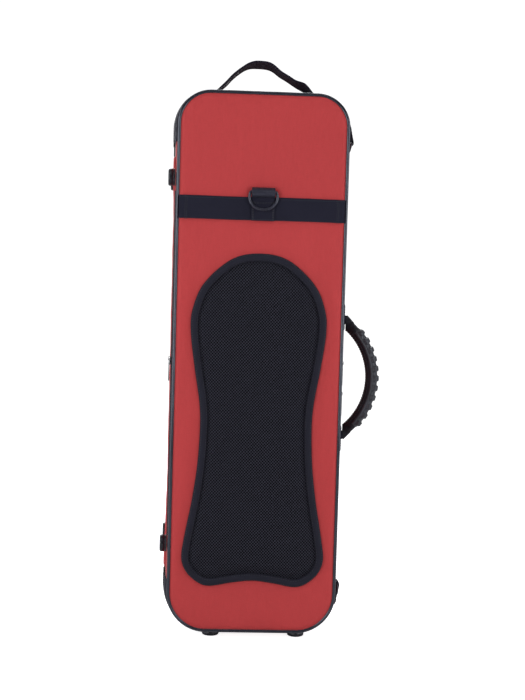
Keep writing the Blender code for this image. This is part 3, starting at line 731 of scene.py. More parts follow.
def half_width_at(z, inset):
    """Half the width of the case outline, inset all round, at a height."""
    half, low, high = HALF_WIDTH - inset, LOW_Z + inset, HIGH_Z - inset
    bottom, top = BOTTOM_RADIUS - inset, TOP_RADIUS - inset
    into_bottom = np.clip(low + bottom - z, 0, bottom)
    into_top = np.clip(z - (high - top), 0, top)
    lower = half - bottom + np.sqrt(np.maximum(bottom**2 - into_bottom**2, 0))
    upper = half - top + np.sqrt(np.maximum(top**2 - into_top**2, 0))
    return np.where(z < low + bottom, lower, upper)


def pad_points():
    right = [(0.030, 0.0835), (0.061, 0.0783), (0.079, 0.0835), (0.0955, 0.0985), (0.1028, 0.1190),
             (0.0990, 0.1510), (0.0895, 0.2040), (0.0830, 0.2550), (0.0805, 0.3080),
             (0.0825, 0.3450), (0.0910, 0.3970), (0.0972, 0.4460), (0.0950, 0.4780),
             (0.0790, 0.5150), (0.0410, 0.5490)]
    points = mirrored([(0.0, 0.0868)] + right + [(0.0, 0.5582)])
    return smooth_curve([(x, z * 1.0027 + 0.0007) for x, z in points], 0.0030, True)


PAD_OUTLINE = pad_points()
PAD_RIM = 0.0115


def distance_to(flat, points):
    """Distance from each point to a dense closed outline."""
    found = np.empty(len(points))
    for start in range(0, len(points), 4000):
        block = points[start:start + 4000]
        found[start:start + 4000] = np.sqrt(
            ((block[:, None] - flat[None]) ** 2).sum(2)).min(1)
    return found


def inside(flat, points):
    """True for points within a closed outline, by counting crossings."""
    x, z = points[:, 0], points[:, 1]
    result = np.zeros(len(points), bool)
    for (ax, az), (bx, bz) in zip(flat, np.roll(flat, -1, 0)):
        crosses = (az > z) != (bz > z)
        with np.errstate(divide="ignore", invalid="ignore"):
            at = (bx - ax) * (z - az) / (bz - az) + ax
        result ^= crosses & (x < at)
    return result


def panel_grid(inset, rows, columns):
    """Rows of (x, z) points that fill the case outline; rows close up near the ends."""
    shares = (1 - np.cos(np.linspace(0, math.pi, rows))) / 2
    shares = 0.55 * np.linspace(0, 1, rows) + 0.45 * shares
    z = (LOW_Z + inset) + shares * (HIGH_Z - LOW_Z - 2 * inset)
    z[0] += 0.00002
    z[-1] -= 0.00002
    half = half_width_at(z, inset)
    across = np.linspace(-1, 1, columns)
    across = 0.75 * across + 0.25 * np.sin(across * math.pi / 2)
    return np.stack([half[:, None] * across[None], np.broadcast_to(z[:, None], (rows, columns))], 2)


def edge_distance(points, inset):
    """How far inside the case outline each (x, z) point lies."""
    x, z = np.abs(points[:, 0]), points[:, 1]
    half, low, high = HALF_WIDTH - inset, LOW_Z + inset, HIGH_Z - inset
    straight = np.minimum(np.minimum(half - x, z - low), high - z)
    for radius, edge_z, sign in ((BOTTOM_RADIUS - inset, low, 1), (TOP_RADIUS - inset, high, -1)):
        dx = x - (half - radius)
        dz = sign * (edge_z + sign * radius - z)
        corner = (dx > 0) & (dz > 0)
        straight = np.where(corner, radius - np.hypot(dx, dz), straight)
    return np.maximum(straight, 0)


def sewn_panel(depth, sign, seams):
    """A cloth panel drawn in at its edge and along its seams, swelling between them."""
    grid = panel_grid(PANEL_INSET, PANEL_ROWS, PANEL_COLUMNS)
    rows, columns, _ = grid.shape
    flat = grid.reshape(-1, 2)
    edge = edge_distance(flat, PANEL_INSET)
    swell = smoothstep(0.0, 0.016, edge)
    x, z = flat[:, 0], flat[:, 1]
    corner = np.where(z > 0.40, -1.0, 1.0) * np.sign(x)
    round_edge = z + corner * x
    pull = np.exp(-edge / 0.011) * smoothstep(0.01, 0.05, np.abs(z - 0.40))
    pucker = pull * (0.00016 * ripple(round_edge, 0.0135) + 0.00022 * ripple(round_edge, 0.0370, 1.0))
    for distance, along in seams:
        swell = np.minimum(swell, smoothstep(0.0, 0.014, distance))
        pucker += np.exp(-distance / 0.007) * ripple(along, 0.0105, 0.7) * 0.00012
    drape = (0.00030 * ripple(z + 0.3 * x, 0.19, 1.1) + 0.00022 * ripple(x - 0.2 * z, 0.083, 0.4)
             + 0.00016 * ripple(x + 0.1 * z, 0.047, 2.0) * ripple(z, 0.31, 0.6))
    y = depth + sign * (0.0010 * swell + drape * swell + pucker * smoothstep(0, 0.004, edge)
                        - 0.0016 * (1 - smoothstep(0, 0.0050, edge)))
    faces = cells(np.arange(len(flat)).reshape(rows, columns))
    return np.stack([x, y, z], 1), faces, flat[np.ravel(faces)].tolist()


def thicken(made, thickness, offset=1.0):
    solid = made.modifiers.new("cloth_thickness", "SOLIDIFY")
    solid.thickness = thickness
    solid.offset = offset
    return made


def make_body_shell():
    shape = covered_shell(BACK_Y, PART_Y - GAP, BACK_Y + 0.0140)
    finish("body_cover", shape, RED, "case_body", ("body_shell",))
    grid = panel_grid(PANEL_INSET, PANEL_ROWS, PANEL_COLUMNS).reshape(-1, 2)
    to_pad = np.where(inside(PAD_OUTLINE, grid), 0.0, distance_to(PAD_OUTLINE, grid))
    angle = np.arctan2(grid[:, 1] - 0.32, grid[:, 0]) * 0.11
    below = np.abs(grid[:, 1] - BAND_LOW)
    above = np.abs(grid[:, 1] - BAND_HIGH)
    band = np.where((grid[:, 1] > BAND_LOW) & (grid[:, 1] < BAND_HIGH), 0.0,
                    np.minimum(below, above))
    shape = sewn_panel(BACK_Y - 0.0012, -1, [(to_pad, angle), (band, grid[:, 0] * 1.3)])
    panel = finish("back_panel_cloth", shape, RED, "case_body", ("back_panel",))
    thicken(panel, 0.0010, -1.0)
    return panel


def make_piping(name, y, body, node):
    """Vinyl piping round an edge, with the flange it's sewn in by."""
    flat = outline(PIPING_RADIUS, straight=70)
    cord = tube(at_y(flat, y), (0, 1, 0), PIPING_RADIUS, 14)
    sign = -1 if y < PART_Y else 1
    flange = []
    for inset, lift in ((0.0042, 0.0004), (0.0048, 0.0014), (0.0066, 0.0013), (0.0068, 0.0002)):
        flange.append(at_y(outline(inset, straight=70), y + sign * (lift - 0.0006)))
    finish(name, merged([cord, skin(flange)]), PIPING, body, (node,))


# ---- back cushion --------------------------------------------------------------------------
STEP_X, STEP_Z = MESH_X / 4, MESH_Z / 4
CUSHION_RISE = 0.0095
SIM_STEP, SIM_FRAMES = 0.0060, 20
BLOWN_RISE = 0.0034


def blown_sheet():
    """Rise of an inflated cloth sheet sewn down along the rim: (x, z) grid axes and lift."""
    xs = np.arange(-17, 18) * SIM_STEP
    zs = 0.084 + np.arange(0, 78) * SIM_STEP
    lift = np.zeros((len(zs), len(xs)))
    inner = offset_inwards(PAD_OUTLINE, PAD_RIM + 0.001)
    points = np.stack(np.meshgrid(xs, zs), 2).reshape(-1, 2)
    kept = inside(inner, points)
    mesh = bpy.data.meshes.new("cushion_sheet")
    mesh.from_pydata(at_y(points[kept], 0.0).tolist(), [], cells(numbered(kept, lift.shape)))
    sheet = bpy.data.objects.new("cushion_sheet", mesh)
    bpy.context.scene.collection.objects.link(sheet)
    depth = distance_to(inner, points[kept])
    pins = sheet.vertex_groups.new(name="sewn")
    pins.add([int(i) for i in np.nonzero(depth < SIM_STEP)[0]], 1.0, "REPLACE")
    cloth = sheet.modifiers.new("cloth", "CLOTH")
    settings = dict(quality=6, mass=0.25, tension_stiffness=18, compression_stiffness=18,
                    shear_stiffness=8, bending_stiffness=2.0, vertex_group_mass="sewn",
                    use_pressure=True, uniform_pressure_force=4.0)
    for setting, value in settings.items():
        setattr(cloth.settings, setting, value)
    cloth.settings.effector_weights.gravity = 0.0
    cloth.collision_settings.use_self_collision = False
    scene = bpy.context.scene
    scene.frame_start, scene.frame_end = 1, SIM_FRAMES
    for number in range(1, SIM_FRAMES + 1):
        scene.frame_set(number)
    evaluated = sheet.evaluated_get(bpy.context.evaluated_depsgraph_get())
    rise = np.abs(np.array([vertex.co.y for vertex in evaluated.data.vertices]))
    scene.frame_set(1)
    bpy.data.objects.remove(sheet)
    lift.reshape(-1)[kept] = rise / max(rise.max(), 1e-6) * BLOWN_RISE
    return xs, zs, lift


def sampled(xs, zs, field, points):
    """Bilinear value of a grid field at (x, z) points."""
    u = np.clip((points[:, 0] - xs[0]) / (xs[1] - xs[0]), 0, len(xs) - 1.001)
    v = np.clip((points[:, 1] - zs[0]) / (zs[1] - zs[0]), 0, len(zs) - 1.001)
    i, j = u.astype(int), v.astype(int)
    u, v = u - i, v - j
    return ((field[j, i] * (1 - u) + field[j, i + 1] * u) * (1 - v)
            + (field[j + 1, i] * (1 - u) + field[j + 1, i + 1] * u) * v)


def softened(field, passes):
    for _ in range(passes):
        padded = np.pad(field, 1, mode="edge")
        field = (padded[1:-1, 1:-1] * 4 + padded[:-2, 1:-1] + padded[2:, 1:-1]
                 + padded[1:-1, :-2] + padded[1:-1, 2:]) / 8
    return field


def make_back_pad():
    """Foam cushion under spacer mesh: a sheet dented at every hole, closed round its foam."""
    cover = offset_inwards(PAD_OUTLINE, PAD_RIM - 0.0035)
    slope = offset_inwards(PAD_OUTLINE, PAD_RIM)
    xs = np.arange(-100, 101) * STEP_X
    zs = np.arange(70, 500) * STEP_Z
    points = np.stack(np.meshgrid(xs, zs), 2).reshape(-1, 2)
    kept = inside(cover, points)
    flat = points[kept]
    depth = np.where(inside(slope, flat), distance_to(slope, flat), 0.0)
    sim_x, sim_z, lift = blown_sheet()
    blown = sampled(sim_x, sim_z, softened(lift, 2), flat)
    shoulder = 1 - (1 - np.clip(depth / 0.0170, 0, 1)) ** 2.3
    crown = 0.0009 + (CUSHION_RISE - 0.0030) * shoulder + blown
    crown += 0.00025 * ripple(flat[:, 0] + 0.4 * flat[:, 1], 0.071) * shoulder
    across, up = 2 * math.pi * flat[:, 0] / MESH_X, 2 * math.pi * flat[:, 1] / MESH_Z
    cell = (1 + np.cos(across + up)) * (1 + np.cos(across - up)) / 4
    holes = cell * 0.00070 - 0.00020
    y = PAD_SEAT - crown + holes * smoothstep(0.004, 0.011, depth)
    solid = bmesh.new()
    verts = [solid.verts.new(point) for point in at_y(flat, y)]
    for face in cells(numbered(kept, (len(zs), len(xs)))):
        solid.faces.new([verts[i] for i in face])
    loose = [vertex for vertex in solid.verts if not vertex.link_faces]
    bmesh.ops.delete(solid, geom=loose, context="VERTS")
    rim = [edge for edge in solid.edges if edge.is_boundary]
    walls = bmesh.ops.extrude_edge_only(solid, edges=rim)["geom"]
    for vertex in walls:
        if isinstance(vertex, bmesh.types.BMVert):
            vertex.co.y = PAD_SEAT + 0.0002
    bmesh.ops.holes_fill(solid, edges=[edge for edge in solid.edges if edge.is_boundary])
    bmesh.ops.recalc_face_normals(solid, faces=solid.faces)
    pad = finish("back_cushion", from_bmesh(solid), MESH, "case_body", ("back_pad",), 75)


def make_pad_rim():
    """Cloth binding folded round the cushion's edge, topstitched near both its edges."""
    profile = [(0.0000, 0.0001), (0.0001, 0.0014), (0.0006, 0.0028), (0.0016, 0.0039),
               (0.0030, 0.0045), (0.0050, 0.0048), (0.0072, 0.0047), (0.0090, 0.0042),
               (0.0103, 0.0033), (0.0112, 0.0019), (0.0115, 0.0004)]
    path = resample(PAD_OUTLINE, 0.0016, True)
    around = distances(path)
    seam_outer, seam_inner = 0.0020, 0.0094
    rings = []
    for inset, height in profile + [(0.0105, -0.0002), (0.0006, -0.0002)]:
        pull = 0.00030 * (math.exp(-((inset - seam_outer) / 0.0008) ** 2)
                          + math.exp(-((inset - seam_inner) / 0.0008) ** 2))
        dimple = pull * (0.75 + 0.25 * ripple(around, 0.0036)) if height > 0.002 else 0.0
        waves = 0.00012 * ripple(around, 0.047) if height > 0.002 else 0.0
        rings.append(at_y(offset_inwards(path, inset), PAD_SEAT - height + dimple + waves))
    rim = skin(rings, loop=True)
    made = finish("back_pad_binding", rim, BINDING, "case_body", ("back_pad_rim",), 50)
    lines = []
    for inset, height in ((seam_outer, 0.0040), (seam_inner, 0.0038)):
        route = at_y(offset_inwards(PAD_OUTLINE, inset), PAD_SEAT - height)
        lines.append(stitches(route, (0, -1, 0), closed=True))
    finish("back_pad_stitches", merged(lines), THREAD, "case_body")


# ---- band, ring tab and ring ---------------------------------------------------------------
def make_back_band():
    middle, height = (BAND_LOW + BAND_HIGH) / 2, BAND_HIGH - BAND_LOW
    reach = HALF_WIDTH - 0.0045
    x = np.linspace(-reach, reach, 130)
    face = PAD_SEAT - 0.0011 - 0.00022 * ripple(x, 0.094, 0.9) ** 2
    path = np.stack([x, face, middle + 0.0012 + 0.00025 * ripple(x, 0.16)], 1)
    band = ribbon(path, (0, 0, 1), height, 0.0016, steps=16)
    finish("back_band_webbing", band, WEBBING, "case_body", ("back_band",))
    seams = []
    front = PAD_SEAT - 0.0019
    for side in (-1, 1):
        for inset in (0.0090, 0.0115):
            end = side * (reach - inset)
            seams.append([(end, front, BAND_LOW + 0.001), (end, front, BAND_HIGH - 0.001)])
    for z in (BAND_LOW + 0.0016, BAND_HIGH - 0.0016):
        for start, stop in ((-reach + 0.002, -0.0170), (0.0195, reach - 0.002)):
            seams.append([(start, front, z), (stop, front, z)])
    sew("back_band_stitches", seams, (0, -1, 0), "case_body", THREAD)


def make_ring_tab():
    """A webbing loop round the ring's bar, its leg sewn down over the band."""
    y, z = D_RING_Y, D_RING_Z
    back = PAD_SEAT - 0.0030
    leg = back - 0.0010
    route = [(leg, BAND_LOW + 0.0006), (leg, BAND_LOW + 0.010), (leg, z - 0.0125),
             (leg - 0.0004, z - 0.0090), (leg - 0.0022, z - 0.0072), (y - 0.0022, z - 0.0068),
             (y - 0.0042, z - 0.0045), (y - 0.0047, z - 0.0005), (y - 0.0033, z + 0.0032),
             (y - 0.0004, z + 0.0054), (y + 0.0026, z + 0.0046), (y + 0.0042, z + 0.0010),
             (back + 0.0009, z - 0.0040), (back + 0.0010, z - 0.0150)]
    path = at_x(smooth_curve(route, 0.0010), D_RING_X)
    turn = int(np.argmax(path[:, 2] > z - 0.0088))
    tab = ribbon(path[:turn + 3], (1, 0, 0), 0.0334, 0.0015, steps=16)
    finish("ring_tab_webbing", tab, WEBBING, "case_body", ("d_ring_tab",))
    roll = ribbon(path[turn:], (1, 0, 0), 0.0332, 0.0014, steps=16)
    finish("ring_tab_roll", roll, POLISHED_WEBBING, "case_body")
    half, face = 0.0150, leg - 0.00085
    low, high = BAND_LOW + 0.0022, z - 0.0150
    seams = []
    for side in (-1, 1):
        for x in (D_RING_X + side * half, D_RING_X + side * half - side * 0.0014):
            seams.append([(x, face, low), (x, face, high)])
    for level in (low, high, high - 0.0016):
        seams.append([(D_RING_X - half, face, level), (D_RING_X + half, face, level)])
    sew("ring_tab_stitches", seams, (0, -1, 0), "case_body", THREAD, 0.0004)


def make_back_ring():
    half, drop = 0.0198, 0.0251
    bow = [(half, -0.0060), (half - 0.0003, -0.0110), (half - 0.0024, -0.0160),
           (half - 0.0070, -0.0213), (half - 0.0130, -0.0243), (0.0, -drop)]
    bar = [(0.0, 0.0), (0.0100, 0.0), (0.0165, -0.0001), (half - 0.0011, -0.0012)]
    right = bar + bow
    flat = mirrored(right)
    path = smooth_curve([(D_RING_X + x, D_RING_Y, D_RING_Z + z) for x, z in flat], 0.0010, True)
    ring = tube(path, (0, 1, 0), 0.0021, 16)
    finish("back_ring", ring, METAL, "back_ring", ("back_d_ring",))


# ---- feet ----------------------------------------------------------------------------------
def make_foot(node, tip, base, direction):
    """A moulded foot: rounded tread with a ring groove, a waist line, a riveted hollow."""
    radius, height = 0.0124, (Vector(tip) - Vector(base)).length
    hollow, rim = 0.0046, 0.0022
    profile = [(0.0005, height - 0.0030), (hollow - 0.0006, height - 0.0030),
               (hollow, height - 0.0026), (hollow + 0.0002, height - 0.0006),
               (hollow + 0.0008, height - 0.0001), (0.0072, height), (0.0080, height - 0.0001),
               (0.0083, height - 0.0006), (0.0087, height - 0.0006), (0.0090, height - 0.0001)]
    profile += [tuple(point) for point in arc((radius - rim, height - rim), rim, 90, 0, 7)]
    profile += [(radius, height - rim), (radius, 0.0030), (radius - 0.0005, 0.0025),
                (radius - 0.0005, 0.0020), (radius + 0.00005, 0.0015), (radius, 0.0003),
                (radius - 0.0004, 0.0), (0.0005, 0.0)]
    body = "lid" if node.startswith("lid") else "case_body"
    finish(f"{node}_moulded", turned(profile, base, direction), FOOT, body, (node,), 50)
    cap = [(0.0002, 0.0012), (0.0014, 0.00115), (0.0026, 0.0007), (0.0031, 0.0001), (0.0031, -0.0006),
           (0.0002, -0.0006)]
    seat = Vector(base) + Vector(direction) * (height - 0.0030)
    finish(f"{node}_rivet", turned(cap, seat, direction, 24), STEEL, body)


def make_feet():
    for part in ("body", "lid"):
        for place, direction in (("side_foot_upper", (-1, 0, 0)), ("side_foot_lower", (-1, 0, 0)),
                                 ("end_foot_left", (0, 0, -1)), ("end_foot_right", (0, 0, -1))):
            node = f"{part}_{place}"
            low, high = local_box(node)
            middle = (low + high) / 2
            axis = 0 if direction[0] else 2
            tip, base = middle.copy(), middle.copy()
            tip[axis], base[axis] = low[axis], high[axis]
            make_foot(node, tip, base, direction)


# ---- corner tabs and rings -----------------------------------------------------------------
def make_corner_tab(level):
    """Webbing sewn round a corner; it leaves the wall on a straight line and folds round its ring."""
    up = 1 if level == "top" else -1
    z = RING_Z[level]
    side, end = wall_inset(TAB_Y)
    wall = HALF_WIDTH - side
    right = right_side(side - 0.0008, end - 0.0008)
    if level == "top":
        tail, leave = right[WALL_STOP:WALL_STOP + 14], 0.0345
        loop = [(wall + 0.0024, z + 0.0255), (wall + 0.0044, z + 0.0165), (wall + 0.0062, z + 0.0085)]
    else:
        tail, leave = right[WALL_START - 14:WALL_START + 1][::-1], 0.0370
        loop = [(wall + 0.0016, z - 0.0290), (wall + 0.0038, z - 0.0190), (wall + 0.0060, z - 0.0100),
                (wall + 0.0070, z - 0.0045)]
    loop += [(RING_X + 0.0029, z + up * 0.0015), (RING_X + 0.0024, z - up * 0.0016),
             (RING_X + 0.0003, z - up * 0.0031), (RING_X - 0.0022, z - up * 0.0016),
             (RING_X - 0.0022, z + up * 0.0010), (RING_X - 0.0004, z + up * 0.0036),
             (wall + 0.0044, z + up * 0.0090), (wall + 0.0029, z + up * 0.0160),
             (wall + 0.0008, z + up * 0.0240)]
    start = [tuple(point) for point in tail[::-1] if up * (point[1] - z) > leave]
    path = at_y(smooth_curve(start + loop, 0.0010), TAB_Y)
    node = f"corner_tab_{level}"
    fold = smooth_curve([(wall + 0.0010, z + up * 0.0230), (wall + 0.0018, z + up * 0.0120),
                         (wall + 0.0021, z + up * 0.0040)], 0.0015)
    strap = merged([ribbon(path, (0, 1, 0), TAB_WIDTH, 0.0015, steps=10),
                    ribbon(at_y(fold, TAB_Y), (0, 1, 0), TAB_WIDTH - 0.0008, 0.0028)])
    finish(f"{node}_webbing", strap, WEBBING, "case_body", (node,))
    outer = np.array([(x + 0.0006, TAB_Y, zz + up * 0.0005) for x, zz in start + loop[:2]])
    seams = [outer + (0, -0.0082, 0), outer + (0, 0.0082, 0),
             [outer[1] + (0, -0.0080, 0), outer[1] + (0, 0.0080, 0)]]
    sew(f"{node}_stitches", seams, (1.0, 0.0, 0.5 * up), "case_body", THREAD)


def make_corner_ring(level):
    axis = Vector((RING_X, TAB_Y, RING_Z[level]))
    tilt, drop = (math.radians(-11.0), 0.0118) if level == "top" else (math.radians(2.5), 0.0160)
    half = TAB_WIDTH / 2 + 0.0021
    right = [(0.0, 0.0), (half - 0.003, 0.0), (half - 0.0006, -0.0008), (half, -0.0030),
             (half - 0.0006, -drop * 0.52), (half - 0.0036, -drop * 0.82), (half - 0.0080, -drop * 0.97),
             (0.0, -drop)]
    flat = mirrored(right)
    points = [(axis.x - v * math.sin(tilt), axis.y + u, axis.z + v * math.cos(tilt)) for u, v in flat]
    path = smooth_curve(points, 0.0009, True)
    across = (math.cos(tilt), 0, math.sin(tilt))
    node = f"corner_ring_{level}"
    ring = tube(path, across, 0.0015, 12)
    finish(f"{node}_bent_wire", ring, METAL, f"ring_{level}", (node,))


# ---- handles -------------------------------------------------------------------------------
HANDLE_Y, HANDLE_Z = -0.0120, 0.3815
HANDLE_CENTRE_X, HANDLE_RADIUS, HANDLE_SPREAD = 0.0710, 0.1010, math.radians(54.0)
CORE_RADIAL, CORE_ACROSS = 0.0082, 0.0125
PATCH_FACE = 0.1320


def handle_ring(share, turns, radial, across):
    """A section of the carry handle; share runs from -1 at its lower end to 1 at its upper."""
    bend = 0.86
    angle = math.copysign(min(abs(share), bend), share) * HANDLE_SPREAD
    straight = math.copysign(max(0.0, abs(share) - bend), share) * HANDLE_SPREAD * HANDLE_RADIUS
    out = np.array([math.cos(angle), 0.0, math.sin(angle)])
    along = np.array([-math.sin(angle), 0.0, math.cos(angle)])
    middle = (np.array([HANDLE_CENTRE_X, HANDLE_Y, HANDLE_Z]) + out * HANDLE_RADIUS + along * straight)
    ring = (middle + out * (radial * np.cos(turns))[:, None]
            + np.array([0.0, 1.0, 0.0]) * (across * np.sin(turns))[:, None])
    ring[:, 0] = np.maximum(ring[:, 0], PATCH_FACE)
    return ring


def sleeve_across(share):
    """Half the sleeve's width: it narrows to its roots, so the handle can swing past the patches."""
    return CORE_ACROSS + (0.0032 - CORE_ACROSS) * smoothstep(0.80, 0.97, abs(share))


def make_carry_handle():
    """A stuffed cloth sleeve with a ribbed rubber grip moulded over its outer half."""
    turns = full_turn(36)
    sleeve = []
    for share in np.linspace(-1.068, 1.068, 264):
        across = sleeve_across(share)
        hem = 0.0009 * smoothstep(0.885, 0.90, abs(share)) + 0.0006 * smoothstep(0.90, 1.04, abs(share))
        end = max(0.0, abs(share) - 1.048) / 0.020
        close = 1 - 0.45 * end ** 2
        gather = 0.00030 * ripple(share, 0.044) * (1 - np.cos(turns)) / 2
        sleeve.append(handle_ring(share, turns, (CORE_RADIAL + hem + gather) * close,
                                  (across + hem) * close))
    core = finish("carry_handle_sleeve", capped(sleeve), CLOTH, "side_handle",
                  ("side_handle_core",))
    ribs, reach, steps = 11, 0.79, 14
    turns = np.radians(np.linspace(-106, 106, 45))
    window = smoothstep(78, 62, np.abs(np.degrees(turns)))
    rings = []
    stations = ribs * steps
    for index in range(stations + 1):
        share = -reach + 2 * reach * index / stations
        phase = (index / steps) % 1.0
        rib = smoothstep(0.16, 0.30, phase) - smoothstep(0.70, 0.84, phase)
        end = min(index, stations - index) / 6
        body = 0.0014 * min(1.0, math.sqrt(max(end, 0.02)))
        seam = 0.0005 * np.exp(-((np.abs(np.degrees(turns)) - 82) / 4) ** 2)
        lift = body + 0.0025 * rib * window * min(1.0, end) - seam * min(1.0, end)
        edge = smoothstep(106, 100, np.abs(np.degrees(turns)))
        lift = lift * (0.35 + 0.65 * edge)
        outside = handle_ring(share, turns, CORE_RADIAL + lift, CORE_ACROSS + lift)
        inside_lift = np.full(len(turns), 0.0003)
        inner = handle_ring(share, turns, CORE_RADIAL + inside_lift, CORE_ACROSS + inside_lift)
        rings.append(np.concatenate([outside, inner[::-1]]))
    finish("carry_handle_grip", capped(rings), RUBBER, "side_handle",
           ("side_handle_grip",), 45)
    lines = []
    for side in (-1, 1):
        shares = np.linspace(-0.87, 0.87, 180)
        seam = np.array([handle_ring(s, np.array([math.radians(side * 128)]), CORE_RADIAL + 0.0001,
                                     sleeve_across(s) + 0.0001)[0] for s in shares])
        lines.append(stitches(seam, (-0.6, side * 0.8, 0.0), lift=0.0001))
    finish("carry_handle_stitches", merged(lines), THREAD, "side_handle")
    for name, side in (("upper", 1), ("lower", -1)):
        make_handle_root(name, side)


def make_handle_root(name, side):
    """The handle's sewn root: a patch on the wall, and webbing that bends from it."""
    node = f"handle_anchor_{name}"
    low, high = local_box(node)
    patch = box_outline((low, high), (1, 2), 0.0, 0.0035)
    face = high.x + 0.0002
    finish(f"{node}_patch", plate(patch, face - low.x, 0, low.x, 0.0004), WEBBING, "case_body",
           (node,))
    route = at_x(box_outline((low, high), (1, 2), 0.0022, 0.0020), face)
    cross = [[(face, low.y + 0.003, low.z + 0.003), (face, high.y - 0.003, high.z - 0.003)],
             [(face, low.y + 0.003, high.z - 0.003), (face, high.y - 0.003, low.z + 0.003)]]
    lines = [stitches(route, (1, 0, 0), closed=True)] + [stitches(c, (1, 0, 0)) for c in cross]
    finish(f"{node}_stitches", merged(lines), THREAD, "case_body")
    turns = full_turn(24)
    end = handle_ring(side * 1.045, turns, 0.0088, 0.0044)
    root = end.copy()
    root[:, 0] = low.x + 0.0006
    root[:, 2] += side * 0.0016
    rings = [root * (1 - share) + end * share for share in np.linspace(0, 1, 9)]
    rings += [handle_ring(side * s, turns, 0.0084, 0.0044) for s in (1.02, 1.0, 0.97)]
    tail = finish(f"handle_root_{name}", capped(rings), WEBBING, None,
                  keep_free=True)
    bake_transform(tail)


def rounded_rectangle(low, high, radius, steps=5):
    (left, bottom), (right, top) = low, high
    return np.concatenate([
        arc((right - radius, bottom + radius), radius, -90, 0, steps), [(right, bottom + radius)],
        arc((right - radius, top - radius), radius, 0, 90, steps), [(right - radius, top)],
        arc((left + radius, top - radius), radius, 90, 180, steps), [(left, top - radius)],
        arc((left + radius, bottom + radius), radius, 180, 270, steps), [(left + radius, bottom)],
    ])


def box_outline(box, axes, inset, radius, steps=5):
    """A CAD box's outline across two of its axes, inset, with rounded corners."""
    low, high = ([corner[k] for k in axes] for corner in box)
    return rounded_rectangle([value + inset for value in low], [value - inset for value in high],
                             radius, steps)


def make_top_handle():
    """A webbing loop whose ends lie on their patches; it leans towards the lid and twists a little."""
    axis_z, lean = 0.7950, math.radians(7.0)
    points = [(-0.0745, -0.0016), (-0.0710, -0.0008), (-0.0668, 0.0020), (-0.0610, 0.0075),
              (-0.0540, 0.0145), (-0.0445, 0.0245), (-0.0335, 0.0345), (-0.0215, 0.0408),
              (-0.0085, 0.0434), (0.0040, 0.0422), (0.0145, 0.0378), (0.0260, 0.0293),
              (0.0430, 0.0188), (0.0560, 0.0128), (0.0650, 0.0074), (0.0718, 0.0010), (0.0752, -0.0016)]
    flat = smooth_curve(points, 0.0012)
    x, height = flat[:, 0], flat[:, 1]
    lift = smoothstep(0.0, 0.014, height)
    turns = [(-0.075, 0), (-0.060, 6), (-0.030, 7), (-0.012, 17), (0.008, 17), (0.028, 12),
             (0.045, 13), (0.060, 24), (0.075, 4)]
    twist = np.radians(np.interp(x, *zip(*turns))) * (0.25 + 0.75 * lift)
    path = np.stack([x, HANDLE_Y + math.sin(lean) * np.maximum(height, 0),
                     axis_z + math.cos(lean) * height], 1)
    across = np.stack([np.zeros(len(x)), np.cos(twist), -np.sin(twist)], 1)
    cup = 0.00035 * ripple(np.arange(len(x)) * 0.0012, 0.031)
    path[:, 2] += cup * lift
    strap = ribbon(path, across, 0.0245, 0.0023, steps=12)
    made = finish("top_handle_webbing", strap, WEBBING, None, ("top_handle_strap",),
                  keep_free=True)
    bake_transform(made)
    lines = []
    for side in (-1, 1):
        normal = np.cross(across, tangents(path))[8:-8]
        normal /= np.linalg.norm(normal, axis=1)[:, None]
        edge = path[8:-8] + across[8:-8] * side * 0.0088
        for face in (-1, 1):
            spots = resample(edge + normal * face * 0.00105, STITCH_PITCH)
            spread = resample(normal * face, distances(normal)[-1] / (len(spots) - 1))[:len(spots)]
            lines.append(stitches(spots, spread if len(spread) == len(spots) else (0, 0, face)))
    seams = finish("top_handle_stitches", merged(lines), THREAD, None,
                   keep_free=True)
    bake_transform(seams)
    for name in ("left", "right"):
        node = f"top_handle_anchor_{name}"
        low, high = local_box(node)
        patch = box_outline((low, high), (0, 1), 0.0, 0.0030)
        finish(f"{node}_patch", plate(patch, high.z - low.z - 0.0002, 2, low.z, 0.0004), WEBBING,
               "case_body", (node,))
        edge = box_outline((low, high), (0, 1), 0.0016, 0.0020)
        route = np.insert(edge, 2, high.z - 0.0002, axis=1)
        finish(f"{node}_stitches", stitches(route, (0, 0, 1), closed=True), THREAD, "case_body")


# ---- zips and hinge ------------------------------------------------------------------------
def bars(points, directions, normals, length, radius):
    """Short arched bars, one at each point, such as the turns of a zip coil."""
    sides = np.cross(directions, normals)
    return threads(zip(points, directions, sides, normals), length, (-0.5, -0.25, 0.25, 0.5),
                   np.array([-1.1, 0.5, 0.5, -1.1]) * radius, np.array([0.7, 1.0, 1.0, 0.7]) * radius,
                   np.radians(45 + np.arange(4) * 90.0))


COIL_PITCH = 0.0015


